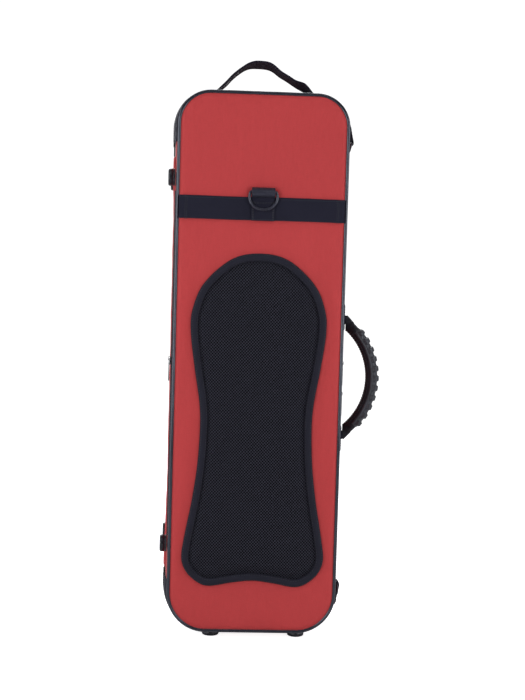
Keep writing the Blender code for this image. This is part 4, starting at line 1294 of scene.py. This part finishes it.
def zip_half(name, route, normals, across, width, thick, body, node, half_turn, coil_reach=0.0017):
    """Half a zip: its tape beside the route and the coil's turns along the edge at the route.

    across points from the route out over the tape, and half_turn shifts the coil by half a turn.
    """
    route = np.array(route, float)
    steps = np.array([0.0, 0.0004, width * 0.5, width - 0.0008, width, width, 0.0004, 0.0])
    lifts = np.array([0.30, 0.5, 0.5, 0.5, 0.25, -0.5, -0.5, -0.3]) * thick
    rings = [route + across * (0.0010 + step) + normals * lift for step, lift in zip(steps, lifts)]
    tape = skin(np.stack(rings, 1), caps=(True, True))
    finish(f"{name}_cloth", tape, ZIP_CLOTH, body, (node,) if node else ())
    spots = resample(route, COIL_PITCH)
    if half_turn:
        spots = (spots[1:] + spots[:-1]) / 2
    forward = tangents(spots)
    over = np.broadcast_to(across, spots.shape) if np.ndim(across) == 1 else across
    if len(over) != len(spots):
        over = np.broadcast_to(over[0], spots.shape)
    upward = np.cross(over, forward)
    upward /= np.linalg.norm(upward, axis=1)[:, None]
    facing = np.sign((upward[0] * normals[0]).sum())
    teeth = bars(spots + over * (coil_reach / 2 - 0.0002) + upward * facing * (thick * 0.5 + 0.0001),
                 over, upward * facing, coil_reach + 0.0010, 0.00050)
    finish(f"{name}_coil", teeth, COIL, body)
    seam = route + across * (width - 0.0006) + normals * (thick * 0.5)
    facings = evenly(seam, len(resample(seam, STITCH_PITCH)), normals)
    finish(f"{name}_stitches", stitches(seam, facings), THREAD, body)


def make_main_zip():
    right = right_side(-SIDE_FLARE - 0.0009, -END_FLARE - 0.0009)
    low, high = local_box("hinge_strip")
    left = right * (-1, 1)
    wall = left[WALL_START][0]
    flat = np.concatenate([[(wall, low.z - 0.0030)], left[1:WALL_START + 1][::-1], right,
                           left[WALL_STOP:-1][::-1], [(wall, high.z + 0.0030)]])
    flat = resample(flat, 0.0040)
    along = tangents(flat)
    outwards = np.stack([along[:, 1], np.zeros(len(flat)), -along[:, 0]], 1)
    for part, sign in (("body", -1), ("lid", 1)):
        body = "lid" if part == "lid" else "case_body"
        route = at_y(flat, PART_Y + sign * GAP)
        zip_half(f"{part}_main_zip", route, outwards, np.array([0.0, float(sign), 0.0]), 0.0085,
                 0.0011, body, f"{part}_zip_tape", part == "lid")


def make_zip_end_patches():
    """Webbing patches round the two corners by the hinge: the zip's ends run in under them."""
    for level, first, last in (("bottom", END_STEPS, WALL_START + 3),
                               ("top", WALL_STOP - 3, WALL_STOP + 17)):
        columns = []
        reach = np.linspace(BACK_Y + 0.0120, PART_Y - 0.0042, 12)
        reach = np.concatenate([[reach[0] - 0.0002], reach, [reach[-1] + 0.0002]])
        for index, y in enumerate(reach):
            side, end = wall_inset(y)
            share = np.clip((y - reach[0]) / (reach[-1] - reach[0]), 0, 1)
            lift = 0.0012 + 0.0024 * math.sin(math.pi * min(1.0, share * 1.15) * 0.75)
            if index in (0, len(reach) - 1):
                lift = 0.0002
            flat = right_side(side - lift, end - lift)[first:last] * (-1, 1)
            flat = resample(smooth_curve([tuple(point) for point in flat], 0.0012), 0.0012)
            columns.append(at_y(evenly(flat, 70), y))
        shape = skin(np.stack(columns, 1), closed=False)
        patch = finish(f"zip_end_patch_{level}", shape, WEBBING, "case_body")
        thicken(patch, 0.0009, 0.0)
        face = reach[-2] - 0.0030
        side, end = wall_inset(face)
        edge = right_side(side - 0.0036, end - 0.0036)[first + 1:last - 1] * (-1, 1)
        finish(f"zip_end_stitches_{level}", stitches(at_y(edge, face), (-0.8, 0, 0)), THREAD,
               "case_body")


def make_pocket_zip():
    """The flat pocket's zip on the left wall, both its tapes on the body."""
    y, outer = -0.0580, -(HALF_WIDTH - wall_inset(-0.0580)[0] + 0.0010)
    low, high = local_box("pocket_zip_tape")
    z = np.arange(low.z, high.z, 0.004)
    for name, sign, node in (("pocket_zip_back", -1, "pocket_zip_tape"), ("pocket_zip_front", 1, None)):
        route = np.stack([np.full(len(z), outer), np.full(len(z), y + sign * 0.0001), z], 1)
        lean = (HALF_WIDTH - wall_inset(y + sign * 0.005)[0]) - (HALF_WIDTH - wall_inset(y)[0])
        across = np.array([-lean / 0.005, float(sign), 0.0])
        normals = np.broadcast_to(np.array([-1.0, 0.0, 0.0]), route.shape)
        zip_half(name, route, normals, across, 0.0042, 0.0008, "case_body", node, sign > 0, 0.0013)


def placed(shape, origin, first, second, third):
    """A shape in local axes moved to its place: first, second and third are those axes."""
    vertices, faces, uvs = shape
    turn = np.array([first, second, third], float)
    return np.asarray(vertices) @ turn + np.array(origin), faces, uvs


def slider_shape(length, width, height, hinge_along, hinge_out):
    """A cast slider: two tapered wings over a waist, and the bridge its pull hangs in.

    Local axes: along the zip, outwards, across.
    """
    half, wide = length / 2, width / 2
    wing = [(-half, -wide * 0.62), (-half * 0.8, -wide * 0.9), (-half * 0.1, -wide),
            (half * 0.55, -wide * 0.80), (half, -wide * 0.42)]
    wing = wing + [(a, -c) for a, c in reversed(wing)]
    parts = [plate(wing, height * 0.62, 1, height * 0.38, 0.00028, 3),
             plate([(a * 0.9, c * 0.86) for a, c in wing], height * 0.5, 1, 0.0, 0.0001, 1)]
    top = hinge_out + 0.0013
    route = [(hinge_along + 0.0027, height * 0.8), (hinge_along + 0.0026, top - 0.0008),
             (hinge_along + 0.0016, top), (hinge_along - 0.0012, top),
             (hinge_along - 0.0024, top - 0.0008), (hinge_along - 0.0026, height * 0.8)]
    path = smooth_curve([(a, o, 0.0) for a, o in route], 0.0004)
    parts.append(ribbon(path, (0, 0, 1), 0.0017, 0.0007, steps=3))
    return merged(parts)


def pull_shape(length, width, thick):
    """A pull: a wire eye round the bridge, and a stamped tab with a raised rim and grip bars.

    Local axes as the slider's, from the hinge; the pull hangs along -first.
    """
    half = width / 2
    wire = 0.00052
    eye = rounded_rectangle((-0.0068, -half + wire), (0.0002, half - wire), 0.0010, 4)
    parts = [tube(resample(at_y(eye, 0.0), 0.0004, True), (0, 1, 0), wire, 8)]
    start, stop = -0.0060, -(length - 0.0007)
    tab = rounded_rectangle((stop, -half), (start, half), 0.0017, 6)
    parts.append(plate(tab, thick * 0.7, 1, -thick * 0.35, 0.00022, 2))
    rim = at_y(tab * (0.965, 0.80) + (start * 0.035 - 0.0003, 0), 0.0)
    face = thick * 0.5
    section = [(face, -0.0003), (face, 0.0003), (-face, 0.0003), (-face, -0.0003)]
    parts.append(skin(sweep(resample(rim, 0.0006, True), (0, 1, 0), section, True), loop=True))
    for index in range(6):
        along = stop + 0.0040 + index * 0.0022
        parts.append(boxy((along - 0.0005, -thick * 0.48, -half * 0.55),
                          (along + 0.0005, thick * 0.48, half * 0.55), 0.00018))
    return merged(parts)


def make_slider(prefix, slider_node, pull_node, parts, pull_body, along, out):
    """Slider and pull on their CAD nodes. along is the zip's direction, out points off the cloth."""
    along, out = Vector(along), Vector(out)
    across = along.cross(out)
    low, high = local_box(slider_node)
    pull_low, pull_high = local_box(pull_node)
    size = high - low
    length, height, width = (abs(size.dot(axis)) for axis in (along, out, across))
    middle = (low + high) / 2
    seat = middle - out * (height / 2 + 0.0003)
    pull_middle = (pull_low + pull_high) / 2
    pull_size = pull_high - pull_low
    hangs = Vector((0, 0, 1))
    top = pull_middle + hangs * (abs(pull_size.z) / 2 - 0.00065)
    hinge_along = (top - seat).dot(along) if abs(along.z) > 0.5 else 0.0
    cast = slider_shape(length, width, height + 0.0003, hinge_along, (top - seat).dot(out))
    finish(f"{prefix}_slider_cast", placed(cast, seat, along, out, across), METAL, parts,
           (slider_node,), 35)
    side = hangs.cross(out)
    tab = pull_shape(abs(pull_size.z), abs(pull_size.dot(side)), 0.0013)
    finish(f"{prefix}_pull_tab", placed(tab, top, hangs, out, side), METAL, pull_body,
           (pull_node,), 35)


def make_hinge():
    """One strip of cordura over both walls along the lid's hinge."""
    low, high = local_box("hinge_strip")
    z = np.linspace(low.z, high.z, 120)
    columns = []
    for y, lift in ((-0.0070, 0.0004), (-0.0068, 0.0011), (-0.0050, 0.0012), (-0.0020, 0.0012),
                    (0.0010, 0.0013), (0.0040, 0.0013), (0.0070, 0.0015), (0.0095, 0.0019),
                    (0.0120, 0.0021), (0.0145, 0.0019), (0.0170, 0.0015), (0.0200, 0.0013),
                    (0.0230, 0.0013), (0.0260, 0.0012), (0.0290, 0.0012), (0.0308, 0.0011),
                    (0.0310, 0.0004)):
        wall = HALF_WIDTH - wall_inset(y)[0] - hinge_ease(y, z)
        waves = 0.00018 * ripple(z, 0.093, y * 90) + 0.00012 * ripple(z, 0.031, 1.0)
        x = -(wall + lift + 0.0003 + waves * (1 if lift > 0.001 else 0))
        columns.append(at_y(np.stack([x, z], 1), y))
    strip = finish("hinge_cloth", skin(np.stack(columns, 1), closed=False), RED, None,
                   ("hinge_strip",), keep_free=True)
    thicken(strip, 0.0008, 0.0)
    bake_modifiers(strip)
    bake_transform(strip)
    for y, body in ((-0.0045, "case_body"), (0.0285, "lid")):
        z = np.linspace(low.z + 0.002, high.z - 0.002, 60)
        face = -(HALF_WIDTH - wall_inset(y)[0] + 0.0019 - hinge_ease(y, z))
        route = at_y(np.stack([face, z], 1), y)
        finish(f"hinge_stitches_{body}", stitches(route, (-1, 0, 0)), RED_THREAD, body)


def bake_modifiers(made):
    """Turns an object's modifiers into its mesh."""
    evaluated = made.evaluated_get(bpy.context.evaluated_depsgraph_get())
    mesh = bpy.data.meshes.new_from_object(evaluated)
    made.modifiers.clear()
    made.data = mesh


# ---- lid -----------------------------------------------------------------------------------
def make_lid():
    shape = covered_shell(FRONT_Y, PART_Y + GAP, FRONT_Y - 0.0120)
    finish("lid_cover", shape, RED, "lid", ("lid_shell",))
    grid = panel_grid(PANEL_INSET, PANEL_ROWS, PANEL_COLUMNS).reshape(-1, 2)
    half, low, high = 0.1040, 0.0400, 0.6610
    x, z = np.abs(grid[:, 0]), grid[:, 1]
    sides = np.where((z > low) & (z < high), np.abs(x - half), 1.0)
    level = np.where(x < half, np.minimum(np.abs(z - low), np.abs(z - high)), 1.0)
    seam = np.minimum(sides, level)
    shape = sewn_panel(FRONT_Y + 0.0012, 1, [(seam, grid[:, 1] + grid[:, 0])])
    panel = finish("lid_panel_cloth", shape, RED, "lid", ("lid_panel",))
    thicken(panel, 0.0010, 1.0)
    front = FRONT_Y + 0.0016
    loop = rounded_rectangle((-half, low), (half, high), 0.020, 8)
    below = np.array([point for point in loop if point[1] < high - 0.015])
    start = np.argmax(np.linalg.norm(np.diff(np.concatenate([below, below[:1]]), axis=0), axis=1))
    below = np.roll(below, -(start + 1), 0)
    route = at_y(below, front - 0.0003)
    seams = [route, at_y(below * (0.975, 0.998) + (0, 0.0008), front - 0.0002)]
    sew("lid_pocket_stitches", seams, (0, 1, 0), "lid", RED_THREAD)
    make_lid_pocket_zip()


def make_lid_pocket_zip():
    low, high = local_box("lid_pocket_zip")
    z, face = (low.z + high.z) / 2, low.y + 0.0006
    x = np.arange(low.x, high.x, 0.004)
    normals = np.broadcast_to(np.array([0.0, 1.0, 0.0]), (len(x), 3))
    for name, sign, node in (("lid_pocket_zip_upper", 1, "lid_pocket_zip"),
                             ("lid_pocket_zip_lower", -1, None)):
        route = np.stack([x, np.full(len(x), face), np.full(len(x), z + sign * 0.0001)], 1)
        zip_half(name, route, normals, np.array([0.0, 0.0, float(sign)]), 0.0048, 0.0008, "lid", node,
                 sign > 0, 0.0013)


# ---- inside --------------------------------------------------------------------------------
def make_lining(part):
    """Plush that rolls over the inside of the rim and runs down the wall to the floor."""
    sign, floor, body = (1, -0.0541, "case_body") if part == "body" else (-1, 0.0561, "lid")
    rim = PART_Y - sign * GAP
    spec = [(0.0066, rim - sign * 0.0004), (0.0072, rim), (0.0082, rim + sign * 0.0001),
            (0.0090, rim - sign * 0.0003), (0.0094, rim - sign * 0.0016)]
    low = floor + sign * 0.0060
    for share in np.linspace(0.08, 1, 14):
        spec.append((0.0094 + 0.0016 * share, rim + (low - rim) * share))
    spec += [(0.0116, floor + sign * 0.0026), (0.0130, floor + sign * 0.0010),
             (0.0155, floor + sign * 0.0001)]
    rings = []
    for index, (inset, y) in enumerate(spec):
        flat = outline(inset, straight=60)
        around = distances(flat)
        middle = math.sin(math.pi * min(1, max(0, (index - 4) / 14)))
        sway = 0.00030 * ripple(around, 0.117, index * 0.2) * middle
        rings.append(at_y(offset_inwards(flat, -sway), y))
    walls = skin(rings)
    grid = panel_grid(0.0155, 160, 50)
    rows, columns, _ = grid.shape
    flat = grid.reshape(-1, 2)
    edge = edge_distance(flat, 0.0155)
    sag = 0.0003 * ripple(flat[:, 1], 0.21, 0.5) * ripple(flat[:, 0], 0.16, 1.2)
    y = floor + sign * (0.0001 + sag * smoothstep(0.002, 0.03, edge))
    panel = skin(at_y(flat, y).reshape(rows, columns, 3), closed=False)
    finish(f"{part}_plush_lining", merged([walls, panel]), PLUSH, body, (f"{part}_lining",), 60)
    cord = at_y(outline(0.0172, straight=60), floor + sign * 0.0009)
    finish(f"{part}_lining_cord", tube(cord, (0, 1, 0), 0.0011, 8), BINDING, body)


BAY = [(0.0240, 0.4050), (0.0240, 0.3985), (0.0480, 0.3930), (0.0740, 0.3720), (0.0850, 0.3380),
       (0.0855, 0.3080), (0.0790, 0.2820), (0.0660, 0.2640), (0.0585, 0.2350), (0.0630, 0.2030),
       (0.0830, 0.1800), (0.1000, 0.1520), (0.1045, 0.1180), (0.1020, 0.0850), (0.0840, 0.0540),
       (0.0460, 0.0375), (0.0, 0.0360)]


def make_bay_cushion():
    """Moulded foam round the violin's body, covered in plush: a rolled edge and sloping walls."""
    inner = smooth_curve(BAY + [(-x, z) for x, z in reversed(BAY[:-1])], 0.0030)
    count = len(inner)
    right = right_side(0.0128, 0.0128)
    right = right[right[:, 1] < 0.4050]
    outer = np.concatenate([[(right[-1][0], 0.4050)], right[::-1], right[1:] * (-1, 1),
                            [(-right[-1][0], 0.4050)]])
    outer = evenly(outer, count)
    floor, top = -0.0540, -0.0016
    rings = []
    ends = np.minimum(np.arange(count), np.arange(count)[::-1]) * 0.0030
    for index in range(count):
        span = outer[index] - inner[index]
        width = np.linalg.norm(span)
        span = span / width
        drop = 0.009 * (1 - math.sqrt(max(0.0, 1 - (1 - min(1.0, ends[index] / 0.009)) ** 2)))
        swell = 0.0006 * math.sin(index * 0.11) * math.sin(index * 0.037)
        height = top - drop + swell * min(1, ends[index] / 0.02)
        roll = min(0.0105, width * 0.42)
        ring = [(0.0, floor), (-0.0004, floor + 0.016), (0.0000, floor + 0.032),
                (0.0006, height - roll)]
        for angle in np.radians([20, 40, 60, 80]):
            ring.append((0.0006 + roll * (1 - math.cos(angle)), height - roll * (1 - math.sin(angle))))
        edge = min(0.004, width * 0.2)
        for share in (0.35, 0.5, 0.65, 0.8):
            across = roll + (width - edge - roll) * share
            ring.append((across, height - 0.0002 * math.sin(share * 3)))
        ring += [(width - edge, height - 0.0002), (width - edge * 0.4, height - edge * 0.25),
                 (width - 0.0001, height - edge), (width, floor + 0.02), (width, floor)]
        rings.append([(inner[index][0] + span[0] * across, y, inner[index][1] + span[1] * across)
                      for across, y in ring])
    cushion = finish("bay_cushion", capped(rings), PLUSH, "case_body",
                     ("insert_left", "insert_right"), 50)
    cord = np.array([ring[4] for ring in rings[3:-3]]) + np.array([0, 0.0006, 0])
    finish("bay_cushion_cord", tube(cord, (0, 1, 0), 0.0010, 8, False), BINDING, "case_body")


def make_box(node):
    """An open storage box of covered board, its walls rolled over with plush."""
    wall = 0.0030
    low, high = local_box(node)
    rings = []
    for inset, y in ((0.0, low.y), (0.0, high.y - 0.0014), (0.0004, high.y - 0.0004),
                     (wall / 2, high.y), (wall - 0.0004, high.y - 0.0004),
                     (wall, high.y - 0.0014), (wall, low.y + 0.0060),
                     (wall + 0.0010, low.y + 0.0030), (wall + 0.0035, low.y + 0.0022)):
        radius = max(0.0012, 0.0030 - inset * 0.5)
        rings.append(at_y(box_outline((low, high), (0, 2), inset, radius), y))
    finish(f"{node}_walls", capped(rings), PLUSH, "case_body", (node,), 50)


def make_box_lid(box):
    """A padded, plush-covered lid with a corded rim, a cloth hinge and a ribbon tab to lift it."""
    name, node, body = f"{box}_cover_pad", f"{box}_lid", f"{box}_cover"
    low, high = local_box(node)
    rings = []
    for inset, rise in ((0.0022, 0.0), (0.0004, 0.0001), (0.0, 0.0010), (0.0006, 0.0021),
                        (0.0018, 0.0026), (0.0040, 0.0031), (0.0080, 0.0036), (0.0130, 0.0040),
                        (0.0190, 0.0042), (0.0250, 0.0043)):
        radius = max(0.0015, 0.0040 - inset * 0.2)
        rings.append(at_y(box_outline((low, high), (0, 2), inset, radius, 6), low.y + rise))
    lid = finish(name, capped(rings), PLUSH, body, (node,), 60)
    rim = at_y(box_outline((low, high), (0, 2), 0.0012, 0.0034, 6), low.y + 0.0026)
    rim = resample(rim, 0.0015, True)
    finish(f"{name}_cord", tube(rim, (0, 1, 0), 0.0009, 8), BINDING, body)
    middle_x, middle_z = (low.x + high.x) / 2, (low.z + high.z) / 2
    if box == "top_box":
        route = [(low.x + 0.004, low.y + 0.0014, high.z + 0.0004),
                 (high.x - 0.004, low.y + 0.0014, high.z + 0.0004)]
        edge, inwards, across = (middle_x, low.z), (0, 1), (1.0, 0.0, 0.0)
    else:
        route = [(low.x - 0.0004, low.y + 0.0014, low.z + 0.004),
                 (low.x - 0.0004, low.y + 0.0014, high.z - 0.004)]
        edge, inwards, across = (high.x, middle_z), (-1, 0), (0.0, 0.0, 1.0)
    finish(f"{name}_hinge_cloth", tube(resample(route, 0.004), (0, 1, 0), 0.0011, 10, False), BINDING,
           "case_body")
    flat = [(0.0160, 0.0048), (0.0100, 0.0046), (0.0040, 0.0040), (-0.0030, 0.0034),
            (-0.0085, 0.0022), (-0.0105, 0.0004), (-0.0080, -0.0008), (-0.0030, -0.0004),
            (0.0010, -0.0003)]
    path = smooth_curve([(edge[0] + inwards[0] * s, low.y + y, edge[1] + inwards[1] * s)
                         for s, y in flat], 0.0008)
    finish(f"{name}_ribbon_tab", ribbon(path, across, 0.0130, 0.0006, steps=6), WEBBING, body)
    ends = [np.array([edge[0] + inwards[0] * 0.0125, low.y + 0.0051, edge[1] + inwards[1] * 0.0125])
            + np.array(across) * side * 0.0052 for side in (-1, 1)]
    finish(f"{name}_ribbon_tab_stitches", stitches(ends, (0, 1, 0)), THREAD, body)


def make_neck_cradle():
    """A plush-covered foam block with a smooth notch for the violin's neck."""
    low, high = local_box("neck_cradle")
    half, notch = (high.x - low.x) / 2, 0.0165
    middle = (high.x + low.x) / 2
    side = [(half - 0.0005, low.y), (half, low.y + 0.004), (half, high.y - 0.0080),
            (half - 0.0018, high.y - 0.0022), (half - 0.0070, high.y), (notch + 0.0052, high.y - 0.0006),
            (notch + 0.0012, high.y - 0.0040), (notch, high.y - 0.0100), (notch - 0.0008, -0.0300),
            (notch - 0.0050, -0.0365), (0.0060, -0.0388)]
    profile = [(x, y) for x, y in side] + [(0.0, -0.0391)] + [(-x, y) for x, y in reversed(side)]
    profile = smooth_curve(profile, 0.0016)
    profile = np.concatenate([profile, line((-half + 0.0005, low.y), (half - 0.0005, low.y), 20)[1:]])
    rings = []
    for inset, z in ((0.0042, low.z), (0.0020, low.z + 0.0006), (0.0006, low.z + 0.0022),
                     (0.0, low.z + 0.0050), (0.0, low.z + 0.0130), (0.0002, (low.z + high.z) / 2),
                     (0.0, high.z - 0.0130), (0.0, high.z - 0.0050), (0.0006, high.z - 0.0022),
                     (0.0020, high.z - 0.0006), (0.0042, high.z)):
        flat = offset_inwards(profile, inset)
        flat[:, 1] = np.maximum(flat[:, 1], low.y)
        rings.append(np.insert(flat + (middle, 0), 2, z, axis=1))
    block = finish("neck_cradle_pad", capped(rings), PLUSH, "case_body",
                   ("neck_cradle",), 60)


def make_neck_strap():
    low, high = local_box("neck_strap")
    y, z = (low.y + high.y) / 2, (low.z + high.z) / 2
    width = high.z - low.z
    route = [(high.x + 0.0004, y - 0.0030, z), (high.x, y - 0.0008, z), (high.x - 0.004, y, z),
             (0.020, y + 0.0003, z), (0.0, y + 0.0006, z), (-0.018, y + 0.0002, z), (low.x, y - 0.0004, z)]
    path = smooth_curve(route, 0.0012)
    finish("neck_strap_webbing", ribbon(path, (0, 0, 1), width, 0.0016), WEBBING, "neck_strap_flap",
           ("neck_strap",))
    patch = boxy((low.x + 0.0010, y - 0.0016, low.z + 0.0018),
                 (low.x + 0.0190, y - 0.0005, high.z - 0.0018), 0.0004)
    finish("neck_strap_hook_patch", patch, PLUSH, "neck_strap_flap")
    seams = [[(x, y + 0.0010, low.z + 0.0025), (x, y + 0.0010, high.z - 0.0025)]
             for x in (low.x + 0.0025, low.x + 0.0185, high.x - 0.0060, high.x - 0.0110)]
    sew("neck_strap_stitches", seams, (0, 1, 0), "neck_strap_flap", THREAD)


def make_spinner(side):
    """A moulded spinner that turns to hold a bow: a waisted post, a rounded arm, a domed cap."""
    node = f"bow_spinner_{side}"
    low, high = local_box(node)
    x, z = (low.x + high.x) / 2, (low.z + high.z) / 2
    height = high.y - low.y
    base = (x, high.y, z)
    post = [(0.0, 0.0), (0.0088, 0.0), (0.0090, 0.0004), (0.0090, 0.0014), (0.0084, 0.0020),
            (0.0074, 0.0034), (0.0069, 0.0070), (0.0068, 0.0120), (0.0072, height - 0.0060),
            (0.0078, height - 0.0054), (0.0, height - 0.0054)]
    shapes = [turned(post, base, (0, -1, 0), 40)]
    half_x, half_z = (high.x - low.x) / 2, (high.z - low.z) / 2
    long_x = half_x > half_z
    reach, waist = max(half_x, half_z), 0.0060
    flat = []
    for angle in np.radians(np.linspace(-90, 90, 13)):
        flat.append((reach - waist + waist * math.cos(angle), waist * math.sin(angle)))
    flat += [(0.0095, 0.0063), (0.0, 0.0072), (-0.0095, 0.0063)]
    flat += [(-a, -b) for a, b in flat]
    outline_points = [(x + a, z + b) if long_x else (x - b, z + a) for a, b in flat]
    shapes.append(plate(outline_points, 0.0055, 1, low.y, 0.0011, 3))
    cap = [(0.0, 0.0), (0.0046, 0.0), (0.0044, 0.0005), (0.0030, 0.0010), (0.0, 0.0012)]
    shapes.append(turned(cap, (x, low.y + 0.0003, z), (0, -1, 0), 32))
    finish(f"{node}_moulding", merged(shapes), PLASTIC, f"spinner_{side}", (node,), 35)


def make_bow_pocket():
    """A ribbon sewn down in three places that keeps the bows' tips."""
    low, high = local_box("bow_tip_pocket")
    z, width, base = (low.z + high.z) / 2, high.z - low.z, 0.0555
    half = [(0.020, 0.0), (0.0235, 0.0055), (0.030, 0.0083), (0.045, 0.0090), (0.060, 0.0083),
            (0.0665, 0.0055), (0.070, 0.0), (0.0850, 0.0)]
    points = [(-a, r) for a, r in reversed(half)] + [(0.0, 0.0)] + half
    path = smooth_curve([(a, base - r, z) for a, r in points], 0.0012)
    finish("bow_tip_ribbon", ribbon(path, (0, 0, 1), width, 0.0012), WEBBING, "lid",
           ("bow_tip_pocket",))
    seams = [[(x, base - 0.0007, low.z + 0.003), (x, base - 0.0007, high.z - 0.003)]
             for x in (-0.080, -0.074, -0.010, 0.010, 0.074, 0.080)]
    sew("bow_tip_stitches", seams, (0, -1, 0), "lid", THREAD)


def make_inside():
    make_lining("body")
    make_lining("lid")
    make_bay_cushion()
    for box in ("top_box", "side_box"):
        make_box(box)
    for box in ("top_box", "side_box"):
        make_box_lid(box)
    make_neck_cradle()
    make_neck_strap()
    make_spinner("left")
    make_spinner("right")
    make_bow_pocket()


# ---- building ------------------------------------------------------------------------------
def make_rings():
    for level in ("top", "bottom"):
        make_corner_tab(level)
        make_corner_ring(level)


def make_sliders():
    up, down, right, front, left = (0, 0, 1), (0, 0, -1), (1, 0, 0), (0, 1, 0), (-1, 0, 0)
    make_slider("main_upper", "main_zip_slider_upper", "main_zip_pull_upper", "main_slider_upper",
                "main_pull_upper", up, right)
    make_slider("main_lower", "main_zip_slider_lower", "main_zip_pull_lower", "main_slider_lower",
                "main_pull_lower", down, right)
    make_slider("pocket", "pocket_zip_slider", "pocket_zip_pull", "pocket_slider", "pocket_pull",
                up, left)
    make_slider("lid_zip", "lid_zip_slider", "lid_zip_pull", "front_slider", "front_pull",
                right, front)


def make_outside():
    make_body_shell()
    make_lid()
    make_piping("body_piping_cord", BACK_Y + 0.0020, "case_body", "back_piping")
    make_piping("lid_piping_cord", FRONT_Y - 0.0020, "lid", "lid_piping")
    make_back_pad()
    make_pad_rim()
    make_back_band()
    make_ring_tab()
    make_back_ring()
    make_feet()
    make_rings()
    make_carry_handle()
    make_top_handle()
    make_main_zip()
    make_pocket_zip()
    make_sliders()
    make_hinge()
    make_zip_end_patches()


# ---- the scene -----------------------------------------------------------------------------
def make_camera():
    turn = (Matrix.Rotation(math.radians(-2.85), 3, "Z") @ Matrix.Rotation(math.radians(-3.2), 3, "X")
            @ Matrix.Rotation(math.radians(-1.64), 3, "Y"))
    facing = Matrix(((1, 0, 0), (0, 0, -1), (0, 1, 0)))
    data = bpy.data.cameras.new("photo_camera")
    data.lens = 61.1
    data.sensor_width = 36.0
    camera = bpy.data.objects.new("photo_camera", data)
    camera.matrix_world = (turn @ facing).to_4x4()
    camera.location = (-0.1024, -1.7660, 0.5177)
    bpy.context.scene.collection.objects.link(camera)
    bpy.context.scene.camera = camera


def make_light(name, place, target, width, height, power, colour=(0.94, 0.96, 1.0)):
    data = bpy.data.lights.new(name, "AREA")
    data.shape = "RECTANGLE"
    data.size, data.size_y = width, height
    data.energy = power
    data.color = colour
    lamp = bpy.data.objects.new(name, data)
    lamp.location = place
    lamp.rotation_euler = (Vector(target) - Vector(place)).to_track_quat("-Z", "Y").to_euler()
    bpy.context.scene.collection.objects.link(lamp)


def make_studio():
    middle = (SHIFT.x, 0.0, 0.48)
    make_light("key_left", (-0.85, -1.15, 0.62), middle, 0.70, 0.95, 8.7)
    make_light("fill_right", (0.88, -1.10, 0.62), middle, 0.70, 0.95, 6.8)
    make_light("overhead", (0.0, -0.90, 2.0), middle, 1.5, 0.9, 3.6)
    make_light("side_left", (-1.25, -0.25, 0.60), middle, 0.35, 1.5, 6.0, (0.86, 0.92, 1.0))
    make_light("side_right", (1.25, -0.25, 0.60), middle, 0.35, 1.5, 6.0, (0.86, 0.92, 1.0))
    make_light("behind", (0.0, 2.0, 1.4), middle, 1.6, 1.4, 26.0)
    world = bpy.data.worlds.new("studio")
    world.use_nodes = True
    nodes, links = world.node_tree.nodes, world.node_tree.links
    background = nodes["Background"]
    direction = nodes.new("ShaderNodeTexCoord").outputs["Generated"]
    split = nodes.new("ShaderNodeSeparateXYZ")
    links.new(direction, split.inputs[0])
    ambient = nodes.new("ShaderNodeMapRange")
    for socket, value in (("From Min", -0.95), ("From Max", -0.25), ("To Min", 0.10), ("To Max", 0.42)):
        ambient.inputs[socket].default_value = value
    links.new(split.outputs["Y"], ambient.inputs["Value"])
    seen = nodes.new("ShaderNodeMix")
    links.new(nodes.new("ShaderNodeLightPath").outputs["Is Camera Ray"], seen.inputs[0])
    links.new(ambient.outputs["Result"], seen.inputs[2])
    seen.inputs[3].default_value = 1.08
    links.new(seen.outputs[0], background.inputs["Strength"])
    background.inputs["Color"].default_value = (1.0, 1.0, 1.0, 1.0)
    bpy.context.scene.world = world
    bpy.context.scene.view_settings.view_transform = "Standard"


def make_floor():
    """A wide pale floor that the camera sees as white, with the soft shadow under the case."""
    half = 60.0
    mesh = bpy.data.meshes.new("floor")
    mesh.from_pydata([(x, y, -0.0002) for x in (-half, half) for y in (-half, half)], [],
                     [(0, 2, 3, 1)])
    paint = Look("pale_floor", (0.66, 0.66, 0.67), 0.85)
    seen = paint.tree.nodes.new("ShaderNodeLightPath").outputs["Is Camera Ray"]
    paint.set("Emission Color", (1.0, 1.0, 1.0, 1.0))
    paint.set("Emission Strength", paint.math("MULTIPLY", seen, 0.90))
    mesh.materials.append(paint.material)
    floor = bpy.data.objects.new("floor", mesh)
    bpy.context.scene.collection.objects.link(floor)


make_camera()
make_studio()
make_floor()
make_outside()
make_inside()
